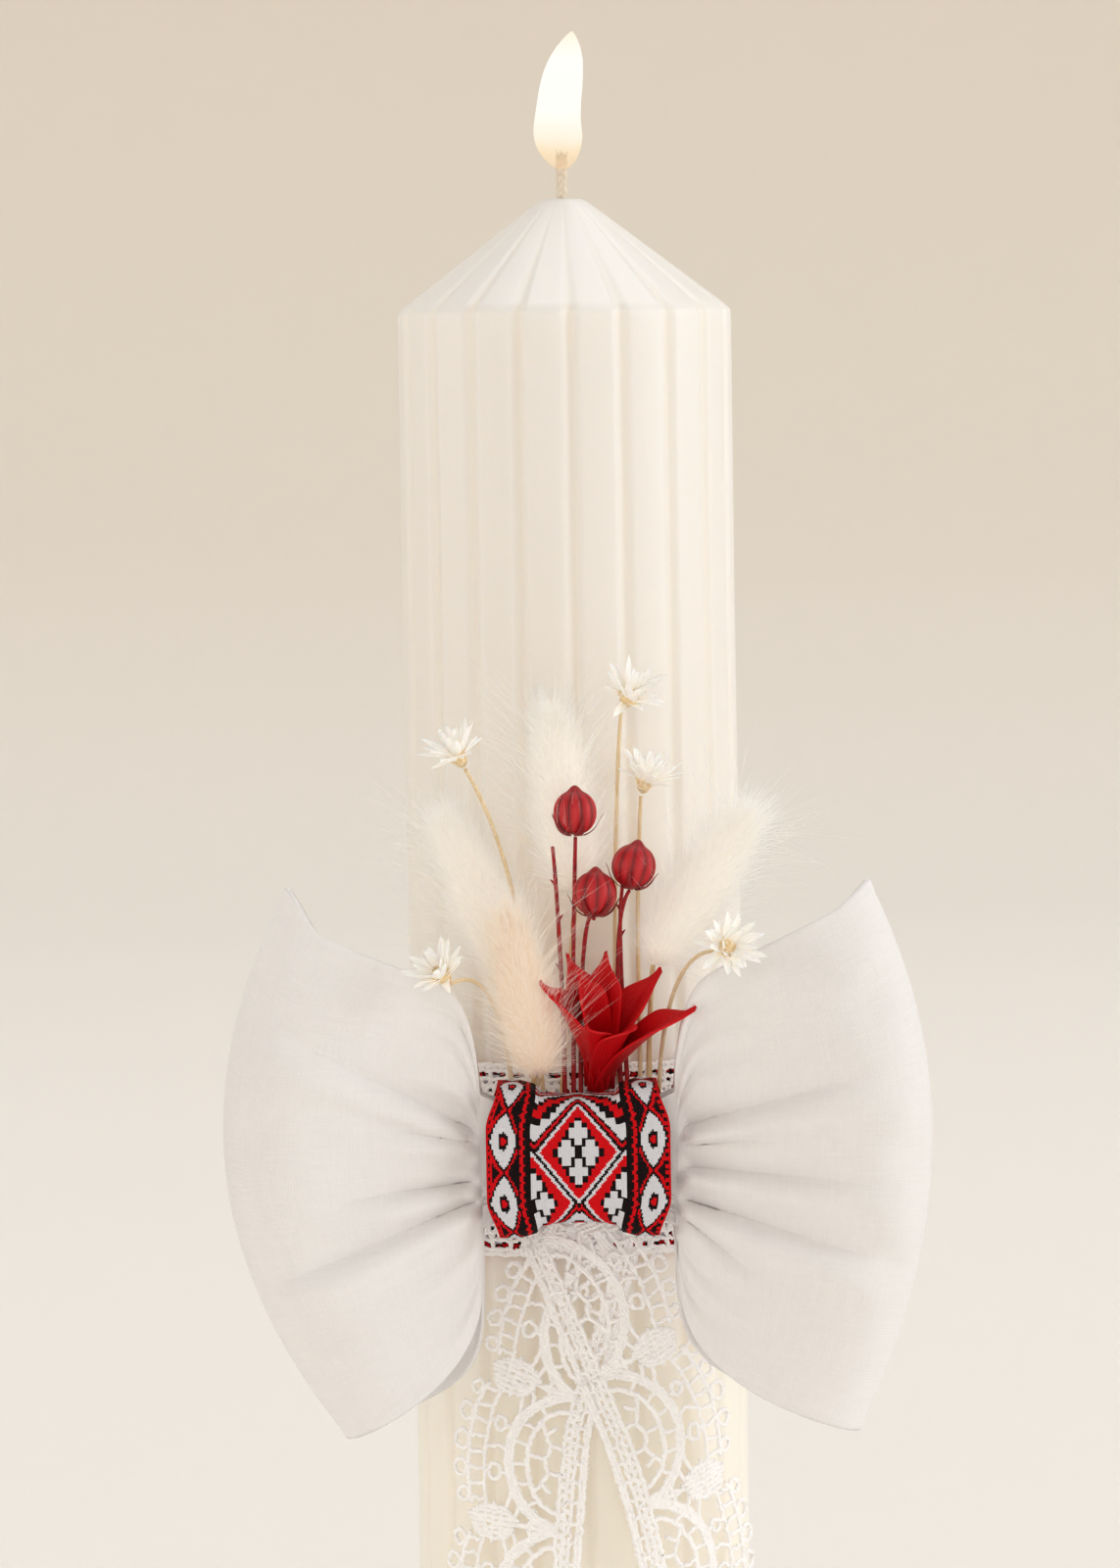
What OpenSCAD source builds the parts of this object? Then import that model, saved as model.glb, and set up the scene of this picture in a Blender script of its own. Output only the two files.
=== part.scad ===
// Ceremony candle dressed with a linen bow, a woven ribbon, lace and a small dried bouquet.
// Millimetres, +Z up. The origin is the middle of the candle's base, and the bow faces -Y.

/* [Candle] */
// Diameter over the ribs
candle_d = 60; // [50:1:80]
// Height of the wax, from the base to the tip
candle_h = 350; // [300:5:450]
// Height of the conical top
cone_h = 20; // [12:1:30]
// Diameter of the flat tip round the wick
tip_d = 7.6; // [5:0.2:12]
// Number of ribs round the candle
rib_count = 20; // [12:1:26]
// Width of the groove between two ribs
groove_w = 2.8; // [1.6:0.1:4]
// Depth of the groove between two ribs
groove_depth = 0.9; // [0.4:0.1:1.6]

/* [Wick and flame] */
// Diameter of the cotton wick
wick_d = 2.4; // [1.6:0.1:3.2]
// Length of wick that stands out of the tip
wick_out = 9; // [6:0.5:12]
// Height of the wick's lower end above the base
wick_foot = 10; // [6:1:20]
// Height of the flame
flame_h = 24.5; // [16:0.5:34]
// Width of the flame
flame_w = 8.8; // [6.4:0.2:12]
// Height of the flame's lower end above the tip
flame_lift = 5.4; // [3:0.2:5.8]

/* [Ribbon] */
// Width of the woven ribbon
ribbon_w = 32; // [26:1:38]
// Thickness of the woven ribbon
ribbon_t = 0.9; // [0.6:0.1:1.2]
// Height of the bow's centre above the base
bow_z = 182; // [170:1:210]
// Drop of the ribbon ring's middle below the bow's centre
ring_drop = 2; // [0:0.5:4]
// Height of the knot at its middle
knot_h = 22; // [21.6:0.2:24]
// Height of the knot at its two edges
knot_edge_h = 27; // [26.4:0.2:30]
// How far the knot's front stands off the gathered linen
knot_bulge = 2.6; // [2.4:0.2:4]

/* [Lace] */
// Width of the lace
lace_w = 32; // [28:1:34]
// Thickness of the lace
lace_t = 0.8; // [0.6:0.1:1.2]
// Length of one repeat of the lace pattern
lace_repeat = 29; // [24:1:34]
// Drop from the bow's centre to the line where the tails bend
tail_drop = 47; // [44:1:50]
// Length of each tail below that line
tail_l = 109; // [80:1:112]
// Width of a tail at its gathered upper end
tail_top_w = 27; // [24:0.5:28]

/* [Bow] */
// Span of the bow from fold to fold
bow_w = 123; // [110:1:140]
// Height of a loop at its outer fold
loop_h = 96; // [84:1:106]
// Depth of a loop in front of the bow's middle plane
loop_front = 12; // [9:0.5:15]
// Depth of a loop behind the bow's middle plane
loop_back = 7; // [5:0.5:9]
// Height of the gathered linen at the bow's centre
root_h = 16; // [13:0.5:16]
// Thickness of the gathered linen at the bow's centre
root_t = 8; // [6:0.5:10]
// Thickness of the doubled linen
linen_t = 1; // [0.8:0.1:1.2]
// Thickness of the thread that gathers the linen
thread_t = 0.8; // [0.5:0.1:0.8]

/* [Bouquet] */
// Diameter of a star flower
star_d = 12; // [10:0.5:14]
// Diameter of a star flower's stem
star_stem_d = 0.8; // [0.6:0.1:1]
// Diameter of a flax pod
pod_d = 7.7; // [6:0.1:8]
// Diameter of a flax stem
pod_stem_d = 0.9; // [0.6:0.1:1]
// Length of a grass head
head_l = 31; // [26:1:33]
// Diameter of a grass head
head_d = 11; // [8:0.5:12]
// Diameter of a grass stem
head_stem_d = 1.1; // [0.8:0.1:1.2]
// Width of a red bract
bract_w = 6; // [4.8:0.2:7]
// Thickness of a red bract
bract_t = 1; // [0.8:0.1:1.2]
// Diameter of the red flower's stem
flower_stem_d = 2; // [1.6:0.1:2.4]
// Thickness of the tape that binds the stems
tape_t = 0.4; // [0.3:0.05:0.6]
// Diameter of the base that the red bracts grow from
bract_base_d = 3.2; // [2.8:0.1:3.4]

/* [Fits] */
// Gap between the wick and the wax
wick_gap = 0.05; // [0.02:0.01:0.1]
// Gap between two layers that turn or slide on each other
layer_gap = 0.3; // [0.2:0.05:0.5]
// Gap between two pieces of the bouquet that meet
seat_gap = 0.1; // [0.05:0.05:0.2]

/* [Hidden] */
$fn = 96;

// Layers in front of the wax, as distances from the candle's axis
candle_r = candle_d / 2;
band_in = candle_r + layer_gap;
band_out = band_in + ribbon_t;
lace_in = band_out + layer_gap;
lace_out = lace_in + lace_t;
left_in = lace_out + layer_gap;
right_in = left_in + lace_t + layer_gap;
knot_back = right_in + lace_t + layer_gap + flower_stem_d + 2 * tape_t + 3 * seat_gap;
root_back = knot_back + ribbon_t + layer_gap + thread_t + seat_gap;
root_mid = root_back + root_t / 2;
knot_half_back = root_mid - knot_back;
knot_half_front = knot_half_back + knot_bulge;
knot_front = root_mid + knot_half_front;
tail_in = [left_in, right_in];

ring_z = bow_z - ring_drop;
tail_z = bow_z - tail_drop;

function lerp(a, b, t) = a + (b - a) * t;
function clamp(t) = min(1, max(0, t));
function smooth(t) = clamp(t) * clamp(t) * (3 - 2 * clamp(t));
function unit(v) = v / norm(v);
function step_list(n) = [for (i = [0 : n]) i / n];
function power(x, p) = sign(x) * pow(abs(x), p);

// A curved plate between two grids of points that have the same rows and columns
module plate(outer, inner) {
    rows = len(outer);
    cols = len(outer[0]);
    count = rows * cols;
    function id(side, i, j) = side * count + i * cols + j;
    function pair(a, b, c, d) = [[a, b, c], [a, c, d]];
    polyhedron(
        points = concat([for (r = outer) each r], [for (r = inner) each r]),
        faces = concat(
            [for (i = [0 : rows - 2], j = [0 : cols - 2])
                each pair(id(0, i, j), id(0, i, j + 1), id(0, i + 1, j + 1), id(0, i + 1, j))],
            [for (i = [0 : rows - 2], j = [0 : cols - 2])
                each pair(id(1, i, j), id(1, i + 1, j), id(1, i + 1, j + 1), id(1, i, j + 1))],
            [for (i = [0 : rows - 2])
                each pair(id(0, i, 0), id(0, i + 1, 0), id(1, i + 1, 0), id(1, i, 0))],
            [for (i = [0 : rows - 2])
                each pair(id(0, i, cols - 1), id(1, i, cols - 1), id(1, i + 1, cols - 1), id(0, i + 1, cols - 1))],
            [for (j = [0 : cols - 2])
                each pair(id(0, 0, j), id(1, 0, j), id(1, 0, j + 1), id(0, 0, j + 1))],
            [for (j = [0 : cols - 2])
                each pair(id(0, rows - 1, j), id(0, rows - 1, j + 1), id(1, rows - 1, j + 1), id(1, rows - 1, j))]
        )
    );
}

// A solid through a stack of closed rings, capped at both ends
module loft(rings) {
    sides = len(rings[0]);
    top = len(rings) - 1;
    function id(i, j) = i * sides + j % sides;
    polyhedron(
        points = [for (r = rings) each r],
        faces = concat(
            [for (j = [1 : sides - 2]) [id(0, 0), id(0, j), id(0, j + 1)]],
            [for (i = [0 : top - 1], j = [0 : sides - 1])
                each [[id(i, j), id(i + 1, j), id(i + 1, j + 1)], [id(i, j), id(i + 1, j + 1), id(i, j + 1)]]],
            [for (j = [1 : sides - 2]) [id(top, 0), id(top, j + 1), id(top, j)]]
        )
    );
}

// A round stem along a curve through three control points, from the lower end up
stem_sides = 8;
stem_rings = 10;
function curve_at(p, t) = (1 - t) * (1 - t) * p[0] + 2 * t * (1 - t) * p[1] + t * t * p[2];
function curve_dir(p, t) = unit((1 - t) * (p[1] - p[0]) + t * (p[2] - p[1]));
function stem_ring(p, dir, r) =
    let (side = unit(cross(dir, [0, 1, 0])), ahead = cross(dir, side))
    [for (j = [0 : stem_sides - 1])
        let (a = 360 * j / stem_sides)
        p + r * (cos(a) * side + sin(a) * ahead)];
module stem(p, d, taper = 0.8) {
    loft([for (t = step_list(stem_rings))
        stem_ring(curve_at(p, t), curve_dir(p, t), d / 2 * lerp(1, taper, t))]);
}

// A flat sleeve along X round a box of the given size
module frame(size, wall, middle) {
    translate(middle)
    difference() {
        cube(size + [0, 2 * wall, 2 * wall], center = true);
        cube([2 * size[0], size[1], size[2]], center = true);
    }
}

// Turns +Z towards a direction
module aim(dir) {
    rotate([0, acos(dir[2] / norm(dir)), atan2(dir[1], dir[0])]) children();
}

// Candle

groove_step = 360 / rib_count;
groove_half = asin(groove_w / 2 / candle_r);
groove_turn = 1.75;
function groove_points(a) = [
    for (k = [-1, -0.5, 0, 0.5, 1])
        let (r = candle_r - groove_depth * (1 - k * k))
        r * [cos(a + k * groove_half), sin(a + k * groove_half)]
];
function rib_point(a) = [candle_r * [cos(a), sin(a)]];
candle_outline = [
    for (i = [0 : rib_count - 1])
        each concat(groove_points(i * groove_step + groove_turn), rib_point((i + 0.5) * groove_step + groove_turn))
];

module candle_body() {
    color("ivory")
    difference() {
        union() {
            linear_extrude(candle_h - cone_h) polygon(candle_outline);
            translate([0, 0, candle_h - cone_h])
                linear_extrude(cone_h, scale = tip_d / candle_d) polygon(candle_outline);
        }
        translate([0, 0, wick_foot]) cylinder(d = wick_d + 2 * wick_gap, h = candle_h);
    }
}

wick_tip = candle_h + wick_out;
module wick() {
    color("linen")
    translate([0, 0, wick_foot + wick_gap]) {
        cylinder(d = wick_d, h = wick_tip - wick_d - wick_foot - wick_gap);
        translate([0, 0, wick_tip - wick_d - wick_foot - wick_gap])
            cylinder(d1 = wick_d, d2 = wick_d / 2, h = wick_d);
    }
}

// Share of the flame's height, half width as a share of flame_w, and lean as a share of flame_w
flame_shape = [
    [0, 0.16, 0.02], [0.09, 0.39, -0.03], [0.23, 0.5, -0.05], [0.39, 0.47, -0.06],
    [0.59, 0.45, 0], [0.8, 0.37, 0.1], [0.93, 0.2, 0.19], [1, 0.03, 0.25]
];
flame_sides = 20;
module flame() {
    color("lightyellow", 0.6)
    difference() {
        translate([0, 0, candle_h + flame_lift])
            loft([for (f = flame_shape)
                [for (j = [0 : flame_sides - 1])
                    let (a = 360 * j / flame_sides)
                    [flame_w * (f[2] + f[1] * cos(a)), flame_w * f[1] * sin(a), flame_h * f[0]]]]);
        cylinder(d = wick_d + 2 * seat_gap, h = wick_tip + seat_gap);
    }
}

// Woven ribbon

module ring(inner, thickness, width, middle) {
    translate([0, 0, middle - width / 2])
    difference() {
        cylinder(r = inner + thickness, h = width);
        translate([0, 0, -width]) cylinder(r = inner, h = 3 * width);
    }
}

module candle_band() {
    color("firebrick") ring(band_in, ribbon_t, ribbon_w, ring_z);
}

// The outline of the knot at a given x: square at the back, round at the front
knot_points = 40;
back_power = 0.2;
front_power = 0.5;
function knot_ring(x, half_z, inset) = [
    for (j = [0 : knot_points - 1])
        let (a = 360 * j / knot_points,
             back = cos(a) > 0,
             p = back ? back_power : front_power,
             half_y = (back ? knot_half_back : knot_half_front) - inset)
        [x, -root_mid + half_y * power(cos(a), p), bow_z + (half_z - inset) * power(sin(a), p)]
];

// The knot is a loop of ribbon: its two edge panels stand higher than its middle panel
edge_panel = ribbon_w * 0.23;
panel_step = 1;
knot_x = [
    -ribbon_w / 2, -ribbon_w / 2 + edge_panel / 2, -ribbon_w / 2 + edge_panel,
    -ribbon_w / 2 + edge_panel + panel_step, 0, ribbon_w / 2 - edge_panel - panel_step,
    ribbon_w / 2 - edge_panel, ribbon_w / 2 - edge_panel / 2, ribbon_w / 2
];
knot_high = [
    knot_edge_h, knot_edge_h, lerp(knot_h, knot_edge_h, 0.8), lerp(knot_h, knot_edge_h, 0.2), knot_h,
    lerp(knot_h, knot_edge_h, 0.2), lerp(knot_h, knot_edge_h, 0.8), knot_edge_h, knot_edge_h
];
module knot_band() {
    color("firebrick")
    difference() {
        loft([for (i = [0 : len(knot_x) - 1]) knot_ring(knot_x[i], knot_high[i] / 2, 0)]);
        loft([for (i = [0 : len(knot_x) - 1])
            let (past = i == 0 || i == len(knot_x) - 1 ? 1.01 : 1)
            knot_ring(past * knot_x[i], knot_high[i] / 2, ribbon_t)]);
    }
}

// Lace

hole_sides = 6;
wrap_rows = 3;
wrap_columns = round(2 * PI * lace_out / (lace_repeat / 3));
wrap_hole = lace_repeat / 9;
module lace_wrap() {
    color("white")
    difference() {
        ring(lace_in, lace_t, lace_w, ring_z);
        for (row = [0 : wrap_rows - 1], column = [0 : wrap_columns - 1])
            rotate(360 * (column + 0.5 * (row % 2)) / wrap_columns)
            translate([0, 0, ring_z + (row - (wrap_rows - 1) / 2) * lace_w / (wrap_rows + 0.5)])
            rotate([0, 90, 0])
            translate([0, 0, lace_in - lace_t])
            linear_extrude(3 * lace_t) circle(r = wrap_hole, $fn = hole_sides);
    }
}

// A tail lies on a cylinder round the candle. u runs from -1 at its inner edge to 1 at its outer edge,
// and v is the distance below the line where it bends.
tail_gap = [-3.4, 4.3];
tail_turn = [12.8, 29.3];
tail_bend = 45;
function half_angle(layer, width) = width / 2 / tail_in[layer] * 180 / PI;
function tail_half(layer, v) = half_angle(layer, lerp(tail_top_w, lace_w, clamp(v / tail_l)));
function tail_swing(layer, v) = tail_turn[layer] * (1 - exp(-v / tail_bend));
function tail_mid(layer, v) = half_angle(layer, tail_top_w) + tail_gap[layer] + tail_swing(layer, v);
function tail_side(layer) = layer == 0 ? -1 : 1;
function tail_at(layer, u, v) =
    let (a = tail_side(layer) * (tail_mid(layer, v) + u * tail_half(layer, v)))
    [(tail_in[layer] + lace_t) * sin(a), tail_z - v];

scallop = 0.16;
edge_steps = 40;
function scalloped(v) = 1 - scallop * (1 - abs(sin(180 * v / lace_repeat)));
tail_join = layer_gap / 2;
function tail_outline(layer) = concat(
    [for (t = step_list(edge_steps)) tail_at(layer, scalloped(t * tail_l), lerp(tail_join, tail_l, t))],
    [for (t = step_list(edge_steps)) tail_at(layer, -1, lerp(tail_l, tail_join, t))]
);

// Holes of one repeat, as [u, share of the repeat, half width in u, half height as a share of the repeat]
lace_holes = concat(
    [for (k = [0 : 5]) [-0.84, (k + 0.5) / 6, 0.05, 0.06]],
    [for (k = [0 : 4]) [-0.58, (k + 0.5) / 5, 0.11, 0.075]],
    [for (k = [0 : 3]) [-0.28, (k + 1) / 5, 0.1, 0.07]],
    [for (k = [0 : 4]) let (a = 180 * (k + 0.5) / 5) [-0.3 + 0.42 * sin(a), 0.5 - 0.4 * cos(a), 0.08, 0.05]],
    [for (k = [-2 : 2]) [0.62 - 0.03 * k * k, 0.5 + 0.13 * k, 0.08, 0.045]]
);
function hole_points(layer, hole, start) = [
    for (j = [0 : hole_sides - 1])
        let (a = 360 * j / hole_sides)
        tail_at(layer, hole[0] + hole[2] * cos(a), start + lace_repeat * (hole[1] + hole[3] * sin(a)))
];
function hole_fits(hole, start) =
    start + lace_repeat * (hole[1] - hole[3]) > 2 * lace_t
    && start + lace_repeat * (hole[1] + hole[3]) < tail_l - 2 * lace_t;

// The front half of a thin cylinder, cut to a front-view outline
module curved_sheet(inner) {
    intersection() {
        difference() {
            cylinder(r = inner + lace_t, h = 2 * bow_z);
            translate([0, 0, -bow_z]) cylinder(r = inner, h = 4 * bow_z);
        }
        rotate([90, 0, 0]) linear_extrude(2 * knot_front) children();
    }
}

module lace_tail(layer) {
    color("white")
    curved_sheet(tail_in[layer])
    difference() {
        polygon(tail_outline(layer));
        for (k = [0 : ceil(tail_l / lace_repeat)], hole = lace_holes)
            if (hole_fits(hole, k * lace_repeat))
                polygon(hole_points(layer, hole, k * lace_repeat));
    }
}

// Above the bend each tail runs up behind the knot, and the two cross there
cross_top = bow_z - 2;
cross_w = 21;
cross_shift = -4.5;
function cross_at(layer, u, t) =
    let (low = tail_at(layer, u, 0),
         mid = tail_side(layer) * cross_shift,
         a = (mid + tail_side(layer) * u * cross_w / 2) / tail_in[layer] * 180 / PI)
    [lerp(low[0], (tail_in[layer] + lace_t) * sin(a), t), lerp(tail_z + tail_join, cross_top, t)];
cross_rows = 4;
cross_columns = 4;
module lace_cross(layer) {
    color("white")
    curved_sheet(tail_in[layer])
    difference() {
        polygon([cross_at(layer, -1, 0), cross_at(layer, 1, 0), cross_at(layer, 1, 1), cross_at(layer, -1, 1)]);
        for (i = [0 : cross_rows - 1], k = [0 : cross_columns - 1])
            polygon([for (j = [0 : hole_sides - 1])
                let (a = 360 * j / hole_sides)
                cross_at(layer, 0.42 * (k - 1.5) + 0.13 * cos(a), (i + 0.6 + 0.3 * sin(a)) / (cross_rows + 0.4))]);
    }
}

// Bow

// Each crease as [place at the knot, place at its far end, far end, depth], across the loop from -1 to 1
loop_creases = [
    [[0.48, 0.5, 0.62, 3.1], [-0.18, -0.1, 0.66, 2.8], [-0.52, -0.4, 0.8, 3.2]],
    [[0.46, 0.38, 0.56, 3.2], [-0.06, -0.02, 0.66, 2.8], [-0.6, -0.36, 0.7, 3.4]]
];
// How far the fold draws in towards the lower and the upper corner of each loop
loop_sag = [[17, 14.5], [11, 13]];
loop_tilt = 0.1;
// How fast the back of each loop widens past the knot, at the lower and the upper edge
back_spread = [[0.16, 0.41], [0.2, 0.2]];
// How fast the front widens: the power of its lower edge, then the flare and the rise of its upper edge
front_spread = [[0.28, 0.47, 0.38], [0.26, 0.49, 0.46]];
flare_w = 0.05;
corner_share = 0.2;
function front_rise(c, out) = c[1] * (1 - exp(-out / flare_w)) + c[2] * out
    + (1 - c[1] - c[2]) * smooth((out - 1 + corner_share) / corner_share);
function front_widen(c, out, w) = lerp(pow(out, c[0]), front_rise(c, out), smooth((w + 1) / 2));
function back_widen(c, out, w) = pow(out, lerp(c[0], c[1], (w + 1) / 2));
// How far the front's fullest place lies towards the fold, and how much of its depth is left at the edges
swell_lag = 1.25;
edge_swell = 0.6;
loop_rows = 30;
loop_columns = 18;
loop_gap = seat_gap;
root_share = 4 / loop_rows;
row_power = 1.5;
// A crease slopes in gently from above and stands up steeply below
crease_over = 0.24;
crease_under = 0.1;
crease_hold = 0.35;
exit_h = knot_edge_h - 2 * ribbon_t - linen_t - 2 * layer_gap;
exit_x = ribbon_w / 2 + linen_t;

function crease_sum(side, q, w) = [for (c = loop_creases[side])
    let (off = w - lerp(c[0], c[1], clamp(q / c[2])),
         fade = smooth(q / 0.12) * (1 - smooth((q / c[2] - crease_hold) / (1 - crease_hold))))
    c[3] * fade * exp(-pow(off / (off > 0 ? crease_over : crease_under), 2))] * [1, 1, 1];

// A point on the middle surface of a loop. e runs from -1 at the front root over 0 at the fold to 1 at the
// back root, and w runs from -1 at the lower edge to 1 at the upper edge.
function loop_at(side, e, w) =
    let (d = 1 - abs(e),
         q = pow(clamp((d - root_share) / (1 - root_share)), row_power),
         out = sin(90 * q),
         spread = e < 0 ? front_widen(front_spread[side], out, w) : back_widen(back_spread[side], out, w),
         front = e < 0 ? 1 : -1,
         inside = clamp(d / root_share),
         half = (root_t - linen_t) / 2,
         swell = (e < 0 ? loop_front * lerp(1, edge_swell, w * w) : loop_back)
             * power(sin(180 * pow(q, e < 0 ? swell_lag : 1)), 0.9),
         dent = e < 0 ? crease_sum(side, q, w) : 0,
         reach = bow_w / 2 - loop_sag[side][w > loop_tilt ? 1 : 0] * pow(w - loop_tilt, 2),
         root = [lerp(loop_gap, exit_x, inside), w * lerp(root_h - linen_t, exit_h, inside * inside) / 2],
         flat = q > 0 ? [lerp(exit_x, reach, out), w * lerp(exit_h, loop_h, spread) / 2] : root,
         depth = root_mid + front * (half * cos(90 * q) + swell - dent))
    [(side == 0 ? -1 : 1) * flat[0], -depth, bow_z + flat[1]];

function loop_normal(side, e, w) =
    let (h = 0.01,
         along = loop_at(side, min(1, e + h), w) - loop_at(side, max(-1, e - h), w),
         across = loop_at(side, e, min(1, w + h)) - loop_at(side, e, max(-1, w - h)))
    unit(cross(along, across)) * (side == 0 ? 1 : -1);

module bow_loop(side) {
    function grid(offset) = [for (e = step_list(loop_rows))
        [for (w = step_list(loop_columns))
            let (turn = side == 0 ? 1 - 2 * w : 2 * w - 1)
            loop_at(side, 2 * e - 1, turn) + offset * linen_t / 2 * loop_normal(side, 2 * e - 1, turn)]];
    color("whitesmoke") plate(grid(-1), grid(1));
}

// Thread wound round the gathered linen, hidden in the knot
thread_w = 3;
module gather_thread() {
    color("white")
    frame([thread_w, root_t + 2 * seat_gap, root_h + 2 * seat_gap], thread_t, [0, -root_mid, bow_z]);
}

// Bouquet

// Places in the bouquet are [right, forward of the knot's back, up from the bow's centre]
function place(p) = [p[0], -knot_back - p[1], bow_z + p[2]];

// The stems stand side by side behind the knot, their fronts in line, bound by tape
stem_foot = -8;
tape_w = 5;
tape_z = -5;
stem_line = -2 * seat_gap - tape_t;
function foot(x, d) = place([x, stem_line - d / 2, stem_foot]);
tape_left = -11.2;
tape_right = 15.2;
tape_room = flower_stem_d + seat_gap;
module stem_tape() {
    color("olivedrab")
    translate(place([(tape_left + tape_right) / 2, stem_line + seat_gap - tape_room / 2, tape_z]))
    rotate([0, 90, 0])
    frame([tape_w, tape_room, tape_right - tape_left], tape_t, [0, 0, 0]);
}

// Grass heads as [foot x, bend, lower end of the head, direction]
grass = [
    [-8.4, [-8.4, -3, 12], [-6.2, 2.4, 14], [-0.2, 0.32, 1]],
    [-6.7, [-7.4, -3, 20], [-9.6, -4.6, 30.5], [-0.42, 0, 0.9]],
    [-3.7, [-1.5, -5.1, 28], [0.4, -1.2, 46], [-0.12, 0, 1]],
    [12.8, [12.4, -3.2, 22], [13.6, 1, 33], [0.54, 0.06, 0.84]]
];
function grass_dir(k) = let (d = grass[k][3]) unit([d[0], -d[1], d[2]]);

// Half outline of a grass head, as shares of its diameter and its length
head_shape = [[0.12, 0], [0.36, 0.08], [0.48, 0.22], [0.5, 0.42], [0.44, 0.64], [0.32, 0.82], [0.14, 0.96], [0, 1]];
module grass_head(k) {
    color("antiquewhite")
    translate(place(grass[k][2])) aim(grass_dir(k))
    translate([0, 0, head_stem_d / 2 + seat_gap])
    rotate_extrude() polygon(concat([[0, 0]], [for (p = head_shape) [p[0] * head_d, p[1] * head_l]]));
}

module grass_stem(k) {
    color("tan")
    stem([foot(grass[k][0], head_stem_d), place(grass[k][1]), place(grass[k][2])], head_stem_d);
}

// Star flowers as [foot x, bend, back of the flower, direction the flower faces]
stars = [
    [-5.2, [-6.4, -5.6, 46], [-18.4, 15.4, 68.8], [-0.45, 0.25, 0.86]],
    [7.8, [6, -6.1, 46], [8.8, -1.6, 78], [0.45, 0.55, 0.7]],
    [11.4, [10.5, -3, 40], [12, -1.6, 62.6], [0.3, 0.1, 0.95]],
    [14.2, [13, -4.6, 36], [24.6, 19.4, 37], [0.42, 0.86, 0.3]],
    [-10.2, [-11, -4.6, 36], [-21.6, 19, 32], [-0.5, 0.6, 0.62]]
];
function star_dir(k) = let (d = stars[k][3]) unit([d[0], -d[1], d[2]]);
star_petals = 12;
star_cup = 2.4;
petal_t = 0.5;
petal_lift = 35;
module star_flower(k) {
    color("snow")
    translate(place(stars[k][2])) aim(star_dir(k))
    translate([0, 0, star_stem_d / 2 + seat_gap]) {
        cylinder(d1 = star_stem_d, d2 = star_d / 3, h = star_cup);
        translate([0, 0, star_cup]) cylinder(d1 = star_d / 3, d2 = star_d / 6, h = star_cup / 2);
        for (i = [0 : star_petals - 1])
            rotate(360 * i / star_petals)
            translate([0, 0, star_cup - petal_t])
            rotate([0, -petal_lift, 0])
            linear_extrude(petal_t)
            polygon([[0, -star_d / 24], [star_d * 0.3, -star_d / 14], [star_d * 0.56, 0],
                     [star_d * 0.3, star_d / 14], [0, star_d / 24]]);
    }
}

module star_stem(k) {
    color("burlywood")
    stem([foot(stars[k][0], star_stem_d), place(stars[k][1]), place(stars[k][2])], star_stem_d, 1);
}

// The red flower's base stands just above the knot's back, and the flower leans forward over the knot
flower_x = 4;
flower_z = 12.9;
flower_lean = 32;
base_h = bract_base_d / 2;
// Bracts as [direction round the flower, outward reach, length]
bracts = [
    [185, 8.2, 24.1], [125, 7.4, 23.4], [140, 2.5, 23.8], [80, 6.7, 23.3],
    [35, 11, 20.1], [345, 15.4, 20.6], [250, 5, 18.6], [315, 7, 18.4]
];
bract_rows = 9;
bract_columns = 4;
bract_drop = 0.2;
bract_foot = 0.36;
bract_tip = 0.15;
function bract_half(t) = bract_w / 2 * lerp(bract_foot, 1, smooth(t / 0.75)) * lerp(1, bract_tip, smooth((t - 0.75) / 0.25));
function bract_at(k, t, w) =
    let (b = bracts[k],
         half = bract_half(t),
         out = bract_base_d / 4 + b[1] * pow(t, 1.5) - 0.35 * half * w * w)
    [out * cos(b[0]) - half * w * sin(b[0]), out * sin(b[0]) + half * w * cos(b[0]), b[2] * t - bract_drop];
function bract_normal(k, t, w) =
    let (h = 0.02,
         along = bract_at(k, min(1, t + h), w) - bract_at(k, max(0, t - h), w),
         across = bract_at(k, t, min(1, w + h)) - bract_at(k, t, max(-1, w - h)))
    unit(cross(along, across));
function bract_grid(k, offset) = [for (t = step_list(bract_rows))
    [for (w = step_list(bract_columns))
        bract_at(k, t, 2 * w - 1) + offset * bract_t / 2 * bract_normal(k, t, 2 * w - 1)]];
flower_at = foot(flower_x, flower_stem_d) + [0, 0, flower_z - stem_foot];
module red_flower() {
    color("crimson")
    translate(flower_at) {
        sphere(r = base_h);
        rotate([flower_lean, 0, 0])
            for (k = [0 : len(bracts) - 1])
                plate(bract_grid(k, 1), bract_grid(k, -1));
    }
}
module flower_stem() {
    color("darkred")
    translate(foot(flower_x, flower_stem_d))
        cylinder(d = flower_stem_d, h = flower_z - base_h - stem_foot - seat_gap);
}

// Flax stems as [foot x, bend, upper end]. The first three carry pods, and the last two are bare twigs.
flax = [
    [-0.9, [-0.4, -5, 36], [0.4, 8.7, 56.2]],
    [0.5, [0.6, -5.6, 46], [3.4, 8.6, 42]],
    [9, [5.4, -3.9, 40], [9.6, 6.4, 46.6]],
    [-2.2, [-1.9, -4, 34], [-3.6, 5.4, 54.4]],
    [10.2, [7, -4.2, 36], [8.5, 1, 47]]
];
pod_lean = [[0, 0, 1], [0.05, -0.1, 1], [0.2, 0, 1]];
module flax_stem(k) {
    color("darkred") stem([foot(flax[k][0], pod_stem_d), place(flax[k][1]), place(flax[k][2])], pod_stem_d);
}

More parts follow.
